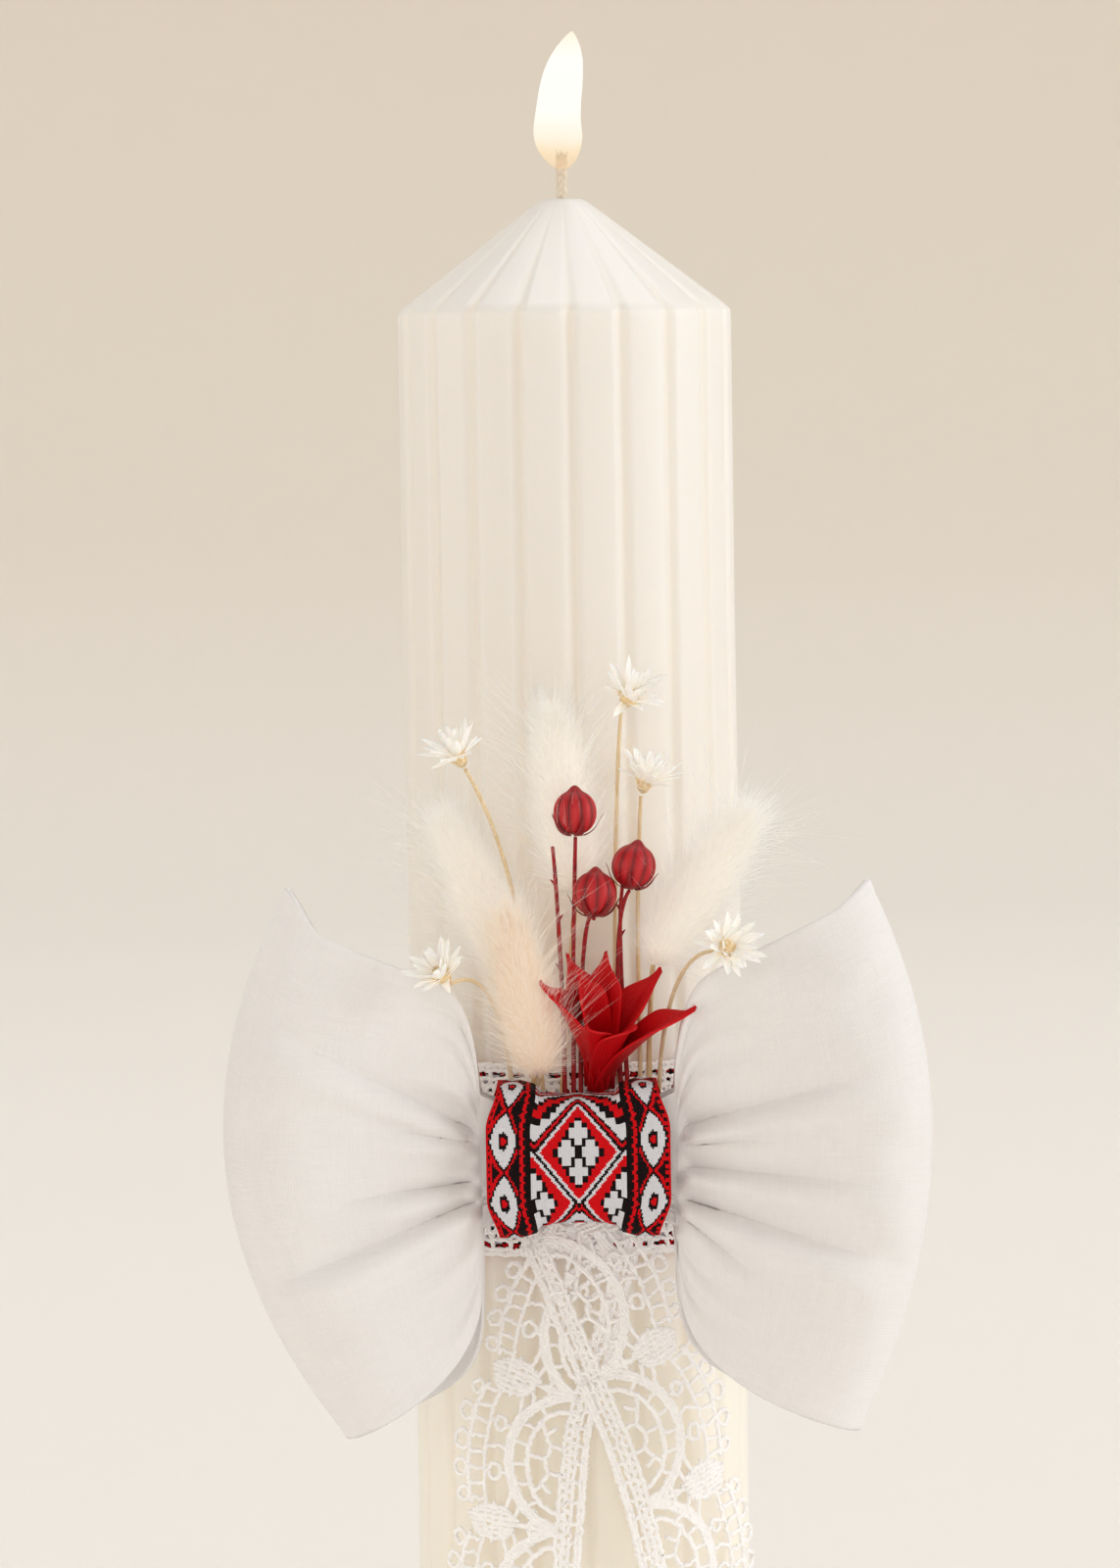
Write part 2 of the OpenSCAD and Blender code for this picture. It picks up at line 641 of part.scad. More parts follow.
pod_tip = 0.9;
module flax_pod(k) {
    color("firebrick")
    translate(place(flax[k][2])) aim(pod_lean[k])
    translate([0, 0, pod_stem_d / 2 + seat_gap])
    rotate_extrude()
    difference() {
        union() {
            translate([0, pod_d / 2]) circle(d = pod_d);
            polygon([[0, pod_d * 0.9], [pod_d * 0.14, pod_d * 0.9], [0, pod_d + pod_tip]]);
            polygon([[0, 0], [pod_stem_d, 0], [pod_d * 0.35, pod_d * 0.25], [0, pod_d * 0.3]]);
        }
        translate([-2 * pod_d, -pod_d]) square([2 * pod_d, 4 * pod_d]);
    }
}

candle_body();
wick();
flame();
candle_band();
lace_wrap();
lace_cross(0);  // lace_cross_left
lace_cross(1);  // lace_cross_right
lace_tail(0);  // lace_tail_left
lace_tail(1);  // lace_tail_right
bow_loop(0);  // bow_loop_left
bow_loop(1);  // bow_loop_right
gather_thread();
knot_band();
grass_head(0);  // grass_head_1
grass_head(1);  // grass_head_2
grass_head(2);  // grass_head_3
grass_head(3);  // grass_head_4
grass_stem(0);  // grass_stem_1
grass_stem(1);  // grass_stem_2
grass_stem(2);  // grass_stem_3
grass_stem(3);  // grass_stem_4
star_flower(0);  // star_flower_1
star_flower(1);  // star_flower_2
star_flower(2);  // star_flower_3
star_flower(3);  // star_flower_4
star_flower(4);  // star_flower_5
star_stem(0);  // star_stem_1
star_stem(1);  // star_stem_2
star_stem(2);  // star_stem_3
star_stem(3);  // star_stem_4
star_stem(4);  // star_stem_5
red_flower();
flower_stem();
stem_tape();
flax_pod(0);  // flax_pod_1
flax_pod(1);  // flax_pod_2
flax_pod(2);  // flax_pod_3
flax_stem(0);  // flax_stem_1
flax_stem(1);  // flax_stem_2
flax_stem(2);  // flax_stem_3
flax_stem(3);  // flax_twig_1
flax_stem(4);  // flax_twig_2
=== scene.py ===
import math

import bmesh
import bpy
import numpy as np
from mathutils import Matrix, Vector


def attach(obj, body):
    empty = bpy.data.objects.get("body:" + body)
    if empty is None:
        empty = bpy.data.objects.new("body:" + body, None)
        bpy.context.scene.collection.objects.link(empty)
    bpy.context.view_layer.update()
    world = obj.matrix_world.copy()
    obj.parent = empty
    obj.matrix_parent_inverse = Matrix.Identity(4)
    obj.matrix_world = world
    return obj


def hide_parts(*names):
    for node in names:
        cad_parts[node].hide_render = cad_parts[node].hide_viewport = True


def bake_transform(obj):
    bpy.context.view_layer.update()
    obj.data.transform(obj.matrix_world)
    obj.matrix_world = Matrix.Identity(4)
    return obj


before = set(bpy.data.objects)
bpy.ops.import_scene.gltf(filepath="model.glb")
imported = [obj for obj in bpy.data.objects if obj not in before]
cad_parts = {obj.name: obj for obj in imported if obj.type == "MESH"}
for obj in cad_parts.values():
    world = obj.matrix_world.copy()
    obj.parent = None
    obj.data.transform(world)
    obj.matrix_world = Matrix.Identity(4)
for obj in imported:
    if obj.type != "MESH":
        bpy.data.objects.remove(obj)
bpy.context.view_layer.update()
scene = bpy.context.scene
scene.view_settings.view_transform = "Standard"
MM = 0.001
random = np.random.default_rng(7)


# Small helpers

def lerp(a, b, t):
    return a + (b - a) * t


def clamp(t):
    return np.clip(t, 0.0, 1.0)


def smooth(t):
    t = clamp(t)
    return t * t * (3 - 2 * t)


def unit(v):
    v = np.asarray(v, float)
    return v / np.maximum(np.linalg.norm(v, axis=-1, keepdims=True), 1e-9)


def tint(red, green, blue):
    """Linear colour of an sRGB value from 0 to 255."""
    values = np.array([red, green, blue]) / 255
    linear = np.where(values <= 0.04045, values / 12.92, ((values + 0.055) / 1.055) ** 2.4)
    return (*linear.tolist(), 1.0)


def quads(rows, columns, wrap_rows=False, wrap_columns=False):
    """Faces of a grid of points that are stored row by row."""
    index = np.arange(rows * columns).reshape(rows, columns)
    if wrap_rows:
        index = np.vstack([index, index[:1]])
    if wrap_columns:
        index = np.hstack([index, index[:, :1]])
    return np.stack([index[:-1, :-1], index[:-1, 1:], index[1:, 1:], index[1:, :-1]], -1).reshape(-1, 4)


def round_angles(sides):
    return np.arange(sides) * 2 * np.pi / sides


def turned(radius, height, sides):
    """Rings of points about the Z axis, one for each height."""
    angle = round_angles(sides)
    return np.stack([radius * np.cos(angle), radius * np.sin(angle), np.repeat(height, sides, 1)], -1)


def section(middle, side, up, wide, high, sides):
    """Rings of points round a line, with half axes wide along side and high along up."""
    angle = round_angles(sides)
    wide, high = (np.broadcast_to(half, len(middle)) for half in (wide, high))
    return (middle[:, None] + np.outer(wide, np.cos(angle))[..., None] * side[:, None]
            + np.outer(high, np.sin(angle))[..., None] * up[:, None])


def spun(points, angle):
    """Points turned about the Z axis."""
    c, s = math.cos(angle), math.sin(angle)
    return points @ np.array([[c, s, 0], [-s, c, 0], [0, 0, 1]])


def outward(spin):
    """Level unit vectors at these angles."""
    return np.stack([np.cos(spin), np.sin(spin), 0 * spin], -1)


def leaf_grid(rows, columns):
    """Share of the way along a leaf, and place across it from -1 to 1."""
    return np.meshgrid(np.linspace(0, 1, rows), np.linspace(-1, 1, columns), indexing="ij")


def normals(point, a, b, first, step):
    """Normals of the surface point(a, b), with a from first to 1 and b from -1 to 1."""
    along = point(np.minimum(a + step, 1), b) - point(np.maximum(a - step, first), b)
    cross = point(a, np.minimum(b + step, 1)) - point(a, np.maximum(b - step, -1))
    return unit(np.cross(along, cross))


class Shape:
    """Points, faces and point values of one piece, in mm, gathered part by part."""

    def __init__(self):
        self.points, self.faces, self.tones, self.flats, self.count = [], [], [], [], 0

    def add(self, points, faces, tone=0.0, flat=None):
        points = np.asarray(points, float).reshape(-1, 3)
        n = len(points)
        self.points.append(points)
        self.tones.append(np.broadcast_to(np.asarray(tone, float).reshape(-1), (n,)))
        self.flats.append(np.zeros((n, 3)) if flat is None else np.asarray(flat, float).reshape(-1, 3))
        self.faces += [np.asarray(group, int) + self.count for group in faces]
        self.count += n

    def skin(self, rings, tone=0.0):
        """A closed skin over rings of points, capped at both ends."""
        rows, sides = rings.shape[:2]
        cap = np.arange(sides)[None]
        self.add(rings, [quads(rows, sides, wrap_columns=True), cap[:, ::-1], cap + (rows - 1) * sides], tone)

    def lathe(self, profile, sides, put, tone=0.0):
        """A turned form. profile is [radius, height] from the lower pole to the upper one."""
        profile = np.asarray(profile, float)
        self.skin(put(turned(profile[:, :1], profile[:, 1:], sides)), tone)

    def tube(self, points, radius, sides, upright=(0.0, 1.0, 0.0)):
        """A round cord through points, with one radius or one for each."""
        along = unit(np.gradient(points, axis=0))
        side = unit(np.cross(along, upright))
        self.skin(section(points, side, np.cross(side, along), radius, radius, sides))

    def plate(self, middle, half, tone=0.0, flat=None):
        """A thin closed plate: a grid of points, moved by half to both sides."""
        rows, columns = middle.shape[:2]
        face, n = quads(rows, columns), rows * columns
        index = np.arange(n).reshape(rows, columns)
        rim = np.concatenate([index[0], index[1:, -1], index[-1, -2::-1], index[-2:0:-1, 0]])
        after = np.roll(rim, -1)
        edge = np.stack([rim, rim + n, after + n, after], -1)
        tones = tone if np.ndim(tone) == 0 else np.tile(np.reshape(tone, -1), 2)
        flats = None if flat is None else np.tile(np.reshape(flat, (-1, 3)), (2, 1))
        self.add(np.stack([middle + half, middle - half]), [face, face[:, ::-1] + n, edge], tones, flats)

    def band(self, outer, inner, flat=None):
        """A thin closed band: two grids of points whose last row meets the first one."""
        rows, columns = outer.shape[:2]
        face, n = quads(rows, columns, wrap_rows=True), rows * columns
        index = np.arange(n).reshape(rows, columns)
        rims = [np.stack([r, np.roll(r, -1), np.roll(r, -1) + n, r + n], -1)
                for r in (index[:, 0], index[:, -1])]
        flats = None if flat is None else np.tile(flat.reshape(-1, 3), (2, 1))
        self.add(np.stack([outer, inner]), [face, face + n, *rims], 0.0, flats)

    def strands(self, roots, directions, lengths, radius, droop, rows=4):
        """Many hairs at once: three-sided, tapered to a point and bent towards droop."""
        n = len(roots)
        t = np.linspace(0, 1, rows)[None, :, None]
        line = roots[:, None] + lengths[:, None, None] * (directions[:, None] * t + droop[:, None] * t * t)
        along = unit(np.gradient(line, axis=1))
        side = unit(np.cross(along, np.array([0.31, 0.77, 0.55])))
        up = np.cross(along, side)
        width = radius[:, None, None] * (1 - t) ** 0.8
        angle = round_angles(3)
        ring = line[:, :-1, None] + width[:, :-1, None] * (
            np.cos(angle)[:, None] * side[:, :-1, None] + np.sin(angle)[:, None] * up[:, :-1, None])
        body = ring.reshape(n, -1, 3)
        each = body.shape[1] + 1
        last = (rows - 2) * 3
        tips = np.array([[last + k, last + (k + 1) % 3, each - 1] for k in range(3)])
        base = np.array([[2, 1, 0]])
        shift = (np.arange(n) * each)[:, None, None]
        groups = [(g[None] + shift).reshape(-1, g.shape[1])
                  for g in (quads(rows - 1, 3, wrap_columns=True), tips, base)]
        values = np.concatenate([np.repeat(np.linspace(0, 1, rows)[:-1], 3), [1.0]])
        self.add(np.concatenate([body, line[:, -1:]], 1), groups, np.tile(values, n))


def build(name, shape, material):
    """Makes the object, with the point values as attributes tone and flat."""
    mesh = bpy.data.meshes.new(name)
    faces = [f for group in shape.faces for f in group.tolist()]
    mesh.from_pydata((np.concatenate(shape.points) * MM).tolist(), [], faces)
    tone = mesh.attributes.new("tone", "FLOAT", "POINT")
    tone.data.foreach_set("value", np.concatenate(shape.tones).astype(np.float32))
    flat = mesh.attributes.new("flat", "FLOAT_VECTOR", "POINT")
    flat.data.foreach_set("vector", np.concatenate(shape.flats).astype(np.float32).ravel())
    work = bmesh.new()
    work.from_mesh(mesh)
    bmesh.ops.recalc_face_normals(work, faces=work.faces)
    work.to_mesh(mesh)
    work.free()
    mesh.polygons.foreach_set("use_smooth", [True] * len(mesh.polygons))
    mesh.materials.append(material)
    thing = bpy.data.objects.new(name, mesh)
    scene.collection.objects.link(thing)
    return thing


def settle(thing, body, slot, *nodes):
    """The piece rides on its body and stands for its CAD nodes."""
    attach(thing, body)
    if nodes:
        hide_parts(*nodes)


class Surface:
    """A material of nodes round one Principled shader. Colours are sRGB values from 0 to 255."""

    def __init__(self, name, **sockets):
        self.material = bpy.data.materials.new(name)
        self.material.use_nodes = True
        self.nodes, self.links = self.material.node_tree.nodes, self.material.node_tree.links
        self.nodes.clear()
        self.out = self.nodes.new("ShaderNodeOutputMaterial").inputs[0]
        self.shader = self.nodes.new("ShaderNodeBsdfPrincipled")
        self.links.new(self.shader.outputs[0], self.out)
        for key, value in sockets.items():
            self.shader.inputs[key.replace("_", " ")].default_value = value
        self.place = self.node("TexCoord", {}, "Object")

    def feed(self, socket, value):
        if isinstance(value, bpy.types.NodeSocket):
            self.links.new(value, socket)
        else:
            socket.default_value = value

    def node(self, kind, inputs, out=0, **settings):
        """Makes a node with its settings and inputs, and gives one of its outputs."""
        node = self.nodes.new("ShaderNode" + kind)
        for key, value in settings.items():
            setattr(node, key, value)
        for key, value in inputs.items():
            self.feed(node.inputs[key], value)
        return node.outputs[out]

    def attribute(self, name, kind="Fac"):
        return self.node("Attribute", {}, kind, attribute_name=name)

    def height(self):
        return self.node("SeparateXYZ", {0: self.place}, 2)

    def stretch(self, vector, *scale):
        return self.node("Mapping", {"Vector": vector, "Scale": scale})

    def noise(self, scale, vector=None, detail=3.0):
        vector = self.place if vector is None else vector
        return self.node("TexNoise", {"Vector": vector, "Scale": scale, "Detail": detail}, "Fac")

    def cells(self, scale):
        return self.node("TexVoronoi", {"Vector": self.place, "Scale": scale}, "Distance")

    def wave(self, vector, scale, axis, distortion):
        inputs = {"Vector": vector, "Scale": scale, "Distortion": distortion}
        return self.node("TexWave", inputs, "Fac", bands_direction=axis)

    def add(self, a, b):
        return self.node("Math", {0: a, 1: b}, operation="ADD")

    def times(self, a, b):
        return self.node("Math", {0: a, 1: b}, operation="MULTIPLY")

    def span(self, value, low, high):
        return self.node("MapRange", {0: value, 3: low, 4: high})

    def mix(self, share, color, other):
        return self.node("Mix", {0: share, 6: color, 7: tint(*other)}, 2, data_type="RGBA")

    def ramp(self, value, *stops):
        """A colour for each value. A stop is [value, colour], or [value, level] for a grey one."""
        node = self.nodes.new("ShaderNodeValToRGB")
        self.links.new(value, node.inputs[0])
        band = node.color_ramp.elements
        while len(band) < len(stops):
            band.new(0.5)
        for element, (at, color) in zip(band, stops):
            element.position = at
            element.color = (color, color, color, 1.0) if np.ndim(color) == 0 else tint(*color)
        return node.outputs[0]

    def color(self, value):
        self.feed(self.shader.inputs["Base Color"], value)

    def bump(self, value, strength, depth_mm):
        inputs = {"Height": value, "Strength": strength, "Distance": depth_mm * MM}
        self.links.new(self.node("Bump", inputs), self.shader.inputs["Normal"])

    def blend(self, first, second, share):
        """Puts two shaders in the place of one, with a share of the second."""
        self.links.new(self.node("MixShader", {0: share, 1: first, 2: second}), self.out)


# Camera, stage and light

FOCUS_PIXELS, PHOTO_H, SENSOR = 6619, 1600, 36
EYE, TILT, ROLL = (-0.00212, -1.170, 0.31828), 3.6, -0.953
camera = bpy.data.objects.new("camera", bpy.data.cameras.new("camera"))
camera.data.sensor_width = SENSOR
camera.data.lens = FOCUS_PIXELS / PHOTO_H * SENSOR
camera.data.clip_end = 50
camera.location = EYE
look = Matrix.Rotation(math.radians(90 - TILT), 3, "X") @ Matrix.Rotation(math.radians(ROLL), 3, "Z")
camera.rotation_euler = look.to_euler()
scene.collection.objects.link(camera)
scene.camera = camera

STUDIO = 1.6        # the room's scale, so that a camera at every pose stays inside it
FLOOR_R, BEND_R, WALL_Z = 1.7 * STUDIO, 1.2 * STUDIO, 3.0 * STUDIO
AIM = Vector((0, 0, 0.22))
WORLD_LIGHT = 0.36


def make_stage():
    """A pale floor that curves up into a wall all round."""
    sides = 96
    bend = [(FLOOR_R + BEND_R * math.sin(a), BEND_R * (1 - math.cos(a)))
            for a in np.linspace(0, np.pi / 2, 24)]
    profile = np.array([(1.0, 0.0), *bend, (FLOOR_R + BEND_R, WALL_Z)]) / MM
    shape = Shape()
    faces = [quads(len(profile), sides, wrap_columns=True), np.arange(sides)[None]]
    shape.add(turned(profile[:, :1], profile[:, 1:], sides), faces)
    paint = Surface("stage_paint", Roughness=0.9)
    # Painted light: the paint is lightest on the floor and turns darker and warmer up the wall, as the light
    # falls off over the backdrop.
    tone = paint.ramp(paint.span(paint.height(), 0.0, STUDIO),
                      (0.0, (250, 247, 242)), (0.35, (243, 236, 224)), (1.0, (241, 232, 218)))
    paint.color(paint.mix(paint.span(paint.noise(3.0 / STUDIO), 0.0, 0.06), tone, (216, 206, 190)))
    build("stage", shape, paint.material)


def area_light(name, place, size, watts, color):
    """A disk aimed at the bow. place is counted from the bow, before the room's scale."""
    light = bpy.data.lights.new(name, "AREA")
    light.shape, light.size, light.energy = "DISK", size * STUDIO, watts * STUDIO ** 2
    light.color = color
    thing = bpy.data.objects.new(name, light)
    thing.location = AIM + Vector(place) * STUDIO
    thing.rotation_euler = (-Vector(place)).to_track_quat("-Z", "Y").to_euler()
    thing.visible_camera = False
    scene.collection.objects.link(thing)


make_stage()
area_light("key", (2.0, -0.5, 0.68), 1.6, 17.5, (0.88, 0.93, 1.0))
area_light("front", (0.0, -2.4, 0.03), 2.4, 15.0, (0.98, 0.99, 1.0))
area_light("front_left", (-1.6, -1.8, 0.03), 2.4, 9.0, (0.96, 0.98, 1.0))
area_light("left", (-2.2, -0.3, 0.38), 1.8, 7.2, (0.97, 0.98, 1.0))
area_light("top", (0.2, 0.7, 2.38), 2.4, 24, (0.98, 0.99, 1.0))
world = bpy.data.worlds.new("air")
world.use_nodes = True
world.node_tree.nodes["Background"].inputs[0].default_value = tint(248, 250, 255)
world.node_tree.nodes["Background"].inputs[1].default_value = WORLD_LIGHT
scene.world = world
scene.cycles.diffuse_bounces = 16
scene.cycles.max_bounces = 16
scene.cycles.transparent_max_bounces = 24


# Sizes that the solids share, in mm

CANDLE_R, CANDLE_H, CONE_H, TIP_R = 30.0, 350.0, 20.0, 3.8
RIBS, GROOVE_W, GROOVE_D, GROOVE_TURN = 20, 2.8, 0.9, 1.75
WICK_FOOT, WICK_TIP = 10.6, 359.0
BOW_Z, RING_Z, TAIL_Z = 182.0, 180.0, 135.0
BAND_IN, BAND_T = 30.3, 0.9
LACE_IN, LACE_T, LACE_W, WRAP_W = 31.5, 0.8, 32.0, 34.6
TAIL_IN = (32.6, 33.7)
TAIL_L, TAIL_TOP_W, TAIL_BEND = 109.0, 27.0, 45.0
TAIL_GAP, TAIL_TURN = (-3.4, 4.3), (12.8, 29.3)
CROSS_W, CROSS_SHIFT = 21.0, -4.5
KNOT_BACK, ROOT_MID, RIBBON_W = 37.9, 44.0, 32.0
ROOT_T, ROOT_H, LINEN_T = 8.0, 16.0, 1.0


def place(p):
    """A place in the bouquet: right, forward of the knot's back, up from the bow's centre."""
    return np.array([p[0], -KNOT_BACK - p[1], BOW_Z + p[2]], float)


# Candle

FLAME_W, FLAME_H, FLAME_LOW, FLAME_DEPTH, FLAME_GLOW = 8.8, 24.5, 5.4, 0.9, 1.05
# Each row is [share of the flame's height, half width, lean], the last two as shares of its width
FLAME = np.array([
    [0, 0.12, 0.02], [0.04, 0.27, 0.0], [0.09, 0.37, -0.03], [0.16, 0.46, -0.05], [0.23, 0.5, -0.06],
    [0.31, 0.49, -0.07], [0.39, 0.465, -0.06], [0.49, 0.45, -0.03], [0.59, 0.44, 0.01], [0.7, 0.41, 0.06],
    [0.8, 0.35, 0.12], [0.88, 0.26, 0.17], [0.94, 0.16, 0.21], [0.98, 0.08, 0.24], [1, 0.02, 0.25]])


def make_wax():
    wax = Surface("wax", Roughness=0.34, Subsurface_Weight=0.5, Subsurface_Scale=0.008,
                  Subsurface_Radius=(1.0, 0.86, 0.7), Specular_IOR_Level=0.45)
    # Painted light: the wax is lighter and warmer below the bow, where the bow and the lace tails shade it,
    # and darker and greyer above it.
    body = wax.ramp(wax.span(wax.height(), 0.0, 1.0), (0.0, (248, 242, 231)), (0.13, (248, 243, 232)),
                    (0.2, (241, 236, 228)), (0.26, (238, 234, 228)), (0.36, (241, 239, 236)))
    # Painted light: the grooves take a warmer cream, the glow of light scattering through the wax there.
    groove = wax.mix(wax.times(wax.attribute("tone"), 0.6), body, (245, 240, 231))
    wax.color(wax.mix(wax.span(wax.noise(28.0, detail=5.0), 0.0, 0.10), groove, (236, 227, 212)))
    wax.feed(wax.shader.inputs["Roughness"], wax.span(wax.noise(90.0, detail=4.0), 0.26, 0.44))
    wax.bump(wax.noise(1.0, wax.stretch(wax.place, 900, 900, 60)), 0.25, 0.12)
    return wax.material


def make_candle():
    per_rib, wide = 26, 1.35
    columns = RIBS * per_rib
    angle = round_angles(columns)
    pitch = 360 / RIBS
    offset = (np.degrees(angle) - GROOVE_TURN + pitch / 2) % pitch - pitch / 2
    across = np.radians(offset) / (GROOVE_W / 2 / CANDLE_R)
    groove = np.where(np.abs(across) < wide, np.cos(np.clip(across / wide, -1, 1) * np.pi / 2) ** 2, 0.0)
    # Each row is [height, radius, share of the groove's depth]
    r, shoulder = CANDLE_R, CANDLE_H - CONE_H
    rows = [[0.0, 3.0, 0.0], [0.0, 20.0, 0.0], [0.0, r - 1, 0.9], [0.25, r - 0.35, 1.0], [1.0, r, 1.0]]
    rows += [[z, r, 1.0] for z in np.linspace(6, shoulder - 1.2, 70)]
    rows += [[shoulder + up, r - off, 1.0] for up, off in ((-0.45, 0.03), (-0.1, 0.2), (0.25, 0.6))]
    for t in np.linspace(0.03, 0.965, 26):
        rows.append([shoulder + CONE_H * t, lerp(r, TIP_R, t), 0.9 * (1 - 0.8 * t)])
    # Over the tip and down the bore that holds the wick
    tip = ((349.7, 4.0), (350.0, 3.3), (349.8, 2.7), (349.3, 2.0), (348.9, 1.45), (347.0, 1.4), (340.0, 1.4),
           (200.0, 1.4), (12.0, 1.4), (10.2, 1.0))
    rows = np.array(rows + [[z, bore, 0.0] for z, bore in tip])
    z, depth = rows[:, :1], rows[:, 2:3]
    radius = rows[:, 1:2] - GROOVE_D * depth * groove[None] * np.minimum(1, rows[:, 1:2] / r + 0.1)
    wobble = 0.10 * np.sin(3 * angle + 0.02 * z) * np.sin(z * 0.045 + 1.3) * depth
    shape = Shape()
    shape.skin(turned(radius + np.where(z > 2, wobble, 0), z, columns), groove[None] * depth)
    settle(build("candle_wax", shape, make_wax()), "candle", "wax", "candle_body")


def make_wick():
    cotton = Surface("wick_cotton", Roughness=0.85)
    burn = cotton.ramp(cotton.span(cotton.height(), 0.0, 1.0),
                       (0.0, (240, 232, 218)), (0.355, (240, 230, 214)),
                       (0.3572, (205, 172, 132)), (0.359, (120, 84, 58)))
    cotton.color(cotton.mix(cotton.span(cotton.noise(1800.0), 0.0, 0.25), burn, (200, 184, 160)))
    cotton.bump(cotton.wave(cotton.place, 900.0, "DIAGONAL", 2.0), 0.5, 0.1)
    shape = Shape()
    z = np.arange(WICK_FOOT, WICK_TIP - 0.8, 0.55)
    plies, braid_step = 3, 4.2
    for k in range(plies):
        phase = z * 2 * np.pi / braid_step + k * 2 * np.pi / plies
        shape.tube(np.stack([0.55 * np.sin(phase), 0.4 * np.sin(2 * phase), z], -1), 0.56, 7)
    count = 22
    out = outward(random.uniform(0, 2 * np.pi, count))
    roots = np.array([0, 0, WICK_TIP - 2.2]) + out * random.uniform(0.1, 0.7, (count, 1))
    rise = unit(out * random.uniform(0.1, 0.5, (count, 1)) + [0, 0, 1])
    shape.strands(roots, rise, random.uniform(1.4, 2.4, count), np.full(count, 0.14), out * 0.15, 5)
    settle(build("wick_braid", shape, cotton.material), "candle", "wick_cotton", "wick")


def make_flame():
    fire = Surface("fire", Roughness=1.0)
    fire.nodes.remove(fire.shader)
    rise = fire.add(fire.attribute("tone"), fire.span(fire.noise(160.0), -0.05, 0.05))
    hue = fire.ramp(rise, (0.0, (246, 214, 176)), (0.10, (252, 226, 186)), (0.22, (254, 243, 222)),
                    (0.42, (255, 252, 244)), (0.8, (255, 253, 246)), (1.0, (254, 244, 222)))
    thick = fire.ramp(rise, (0.0, 0.45), (0.18, 0.7), (0.4, 0.95), (1.0, 0.9))
    fire.blend(fire.node("BsdfTransparent", {}), fire.node("Emission", {0: hue, 1: FLAME_GLOW}), thick)
    rows, sides = 60, 40
    t = np.linspace(0, 1, rows)
    half, lean = (np.interp(t, FLAME[:, 0], FLAME[:, k]) * FLAME_W for k in (1, 2))
    for line in (half, lean):
        for _ in range(3):
            line[1:-1] = (line[:-2] + 2 * line[1:-1] + line[2:]) / 4
    rings = turned(half[:, None], (CANDLE_H + FLAME_LOW + FLAME_H * t)[:, None], sides)
    shape = Shape()
    shape.skin(rings * [1, FLAME_DEPTH, 1] + lean[:, None, None] * [1, 0, 0], np.repeat(t, sides))
    settle(build("flame_light", shape, fire.material), "candle", "flame", "flame")


make_candle()
make_wick()
make_flame()


# Woven ribbon

RED, WHITE, BLACK, LINING = 0, 1, 2, 3
DYES = np.array([tint(224, 4, 18), tint(230, 231, 238), tint(8, 6, 7), tint(150, 10, 20)])
THREAD_LIFT = np.array([0.03, 0.10, 0.0])
STITCH, THREAD_W, THREAD_SINK = 0.3, 0.32, 0.05
# The woven pattern: rhombs down the middle, half rhombs beside the lower half of each, and stepped corners
# between them
RHOMB_W, RHOMB_H, RHOMB_STEP = 8.27, 10.2, 30.0
HALF_X, HALF_Y, RHOMB_Y = 8.1, 8.88, 2.0
PANEL_X, STRIPE_X, DIAMOND_X, DIAMOND_STEP = 8.4, 10.7, 13.0, 9.6
STAIR_X, STAIR_Y = 0.85, 1.15


def crosses(dye, x, y, inside):
    """Four white crosses in a rhomb, with black squares in their corners."""
    black, white = np.zeros(x.shape, bool), np.zeros(x.shape, bool)
    for cx, cy in ((0, 3.3), (2.05, 0), (-2.05, 0), (0, -3.3)):
        dx, dy = np.abs(x - cx), np.abs(y - cy)
        white |= (dx < 0.75) & (dy < 2.15) | (dx < 1.55) & (dy < 0.85)
        black |= (dx < 1.6) & (dy < 1.9) | (dx < 0.75) & (dy < 2.9) | (dx < 2.3) & (dy < 0.7)
    dye[inside & black] = BLACK
    dye[inside & white] = WHITE


def rhomb(x, y):
    return np.abs(x) / RHOMB_W + np.abs(y) / RHOMB_H


def nearest(y, step):
    """Distance from the nearest middle of a pattern that repeats."""
    return (y + step / 2) % step - step / 2


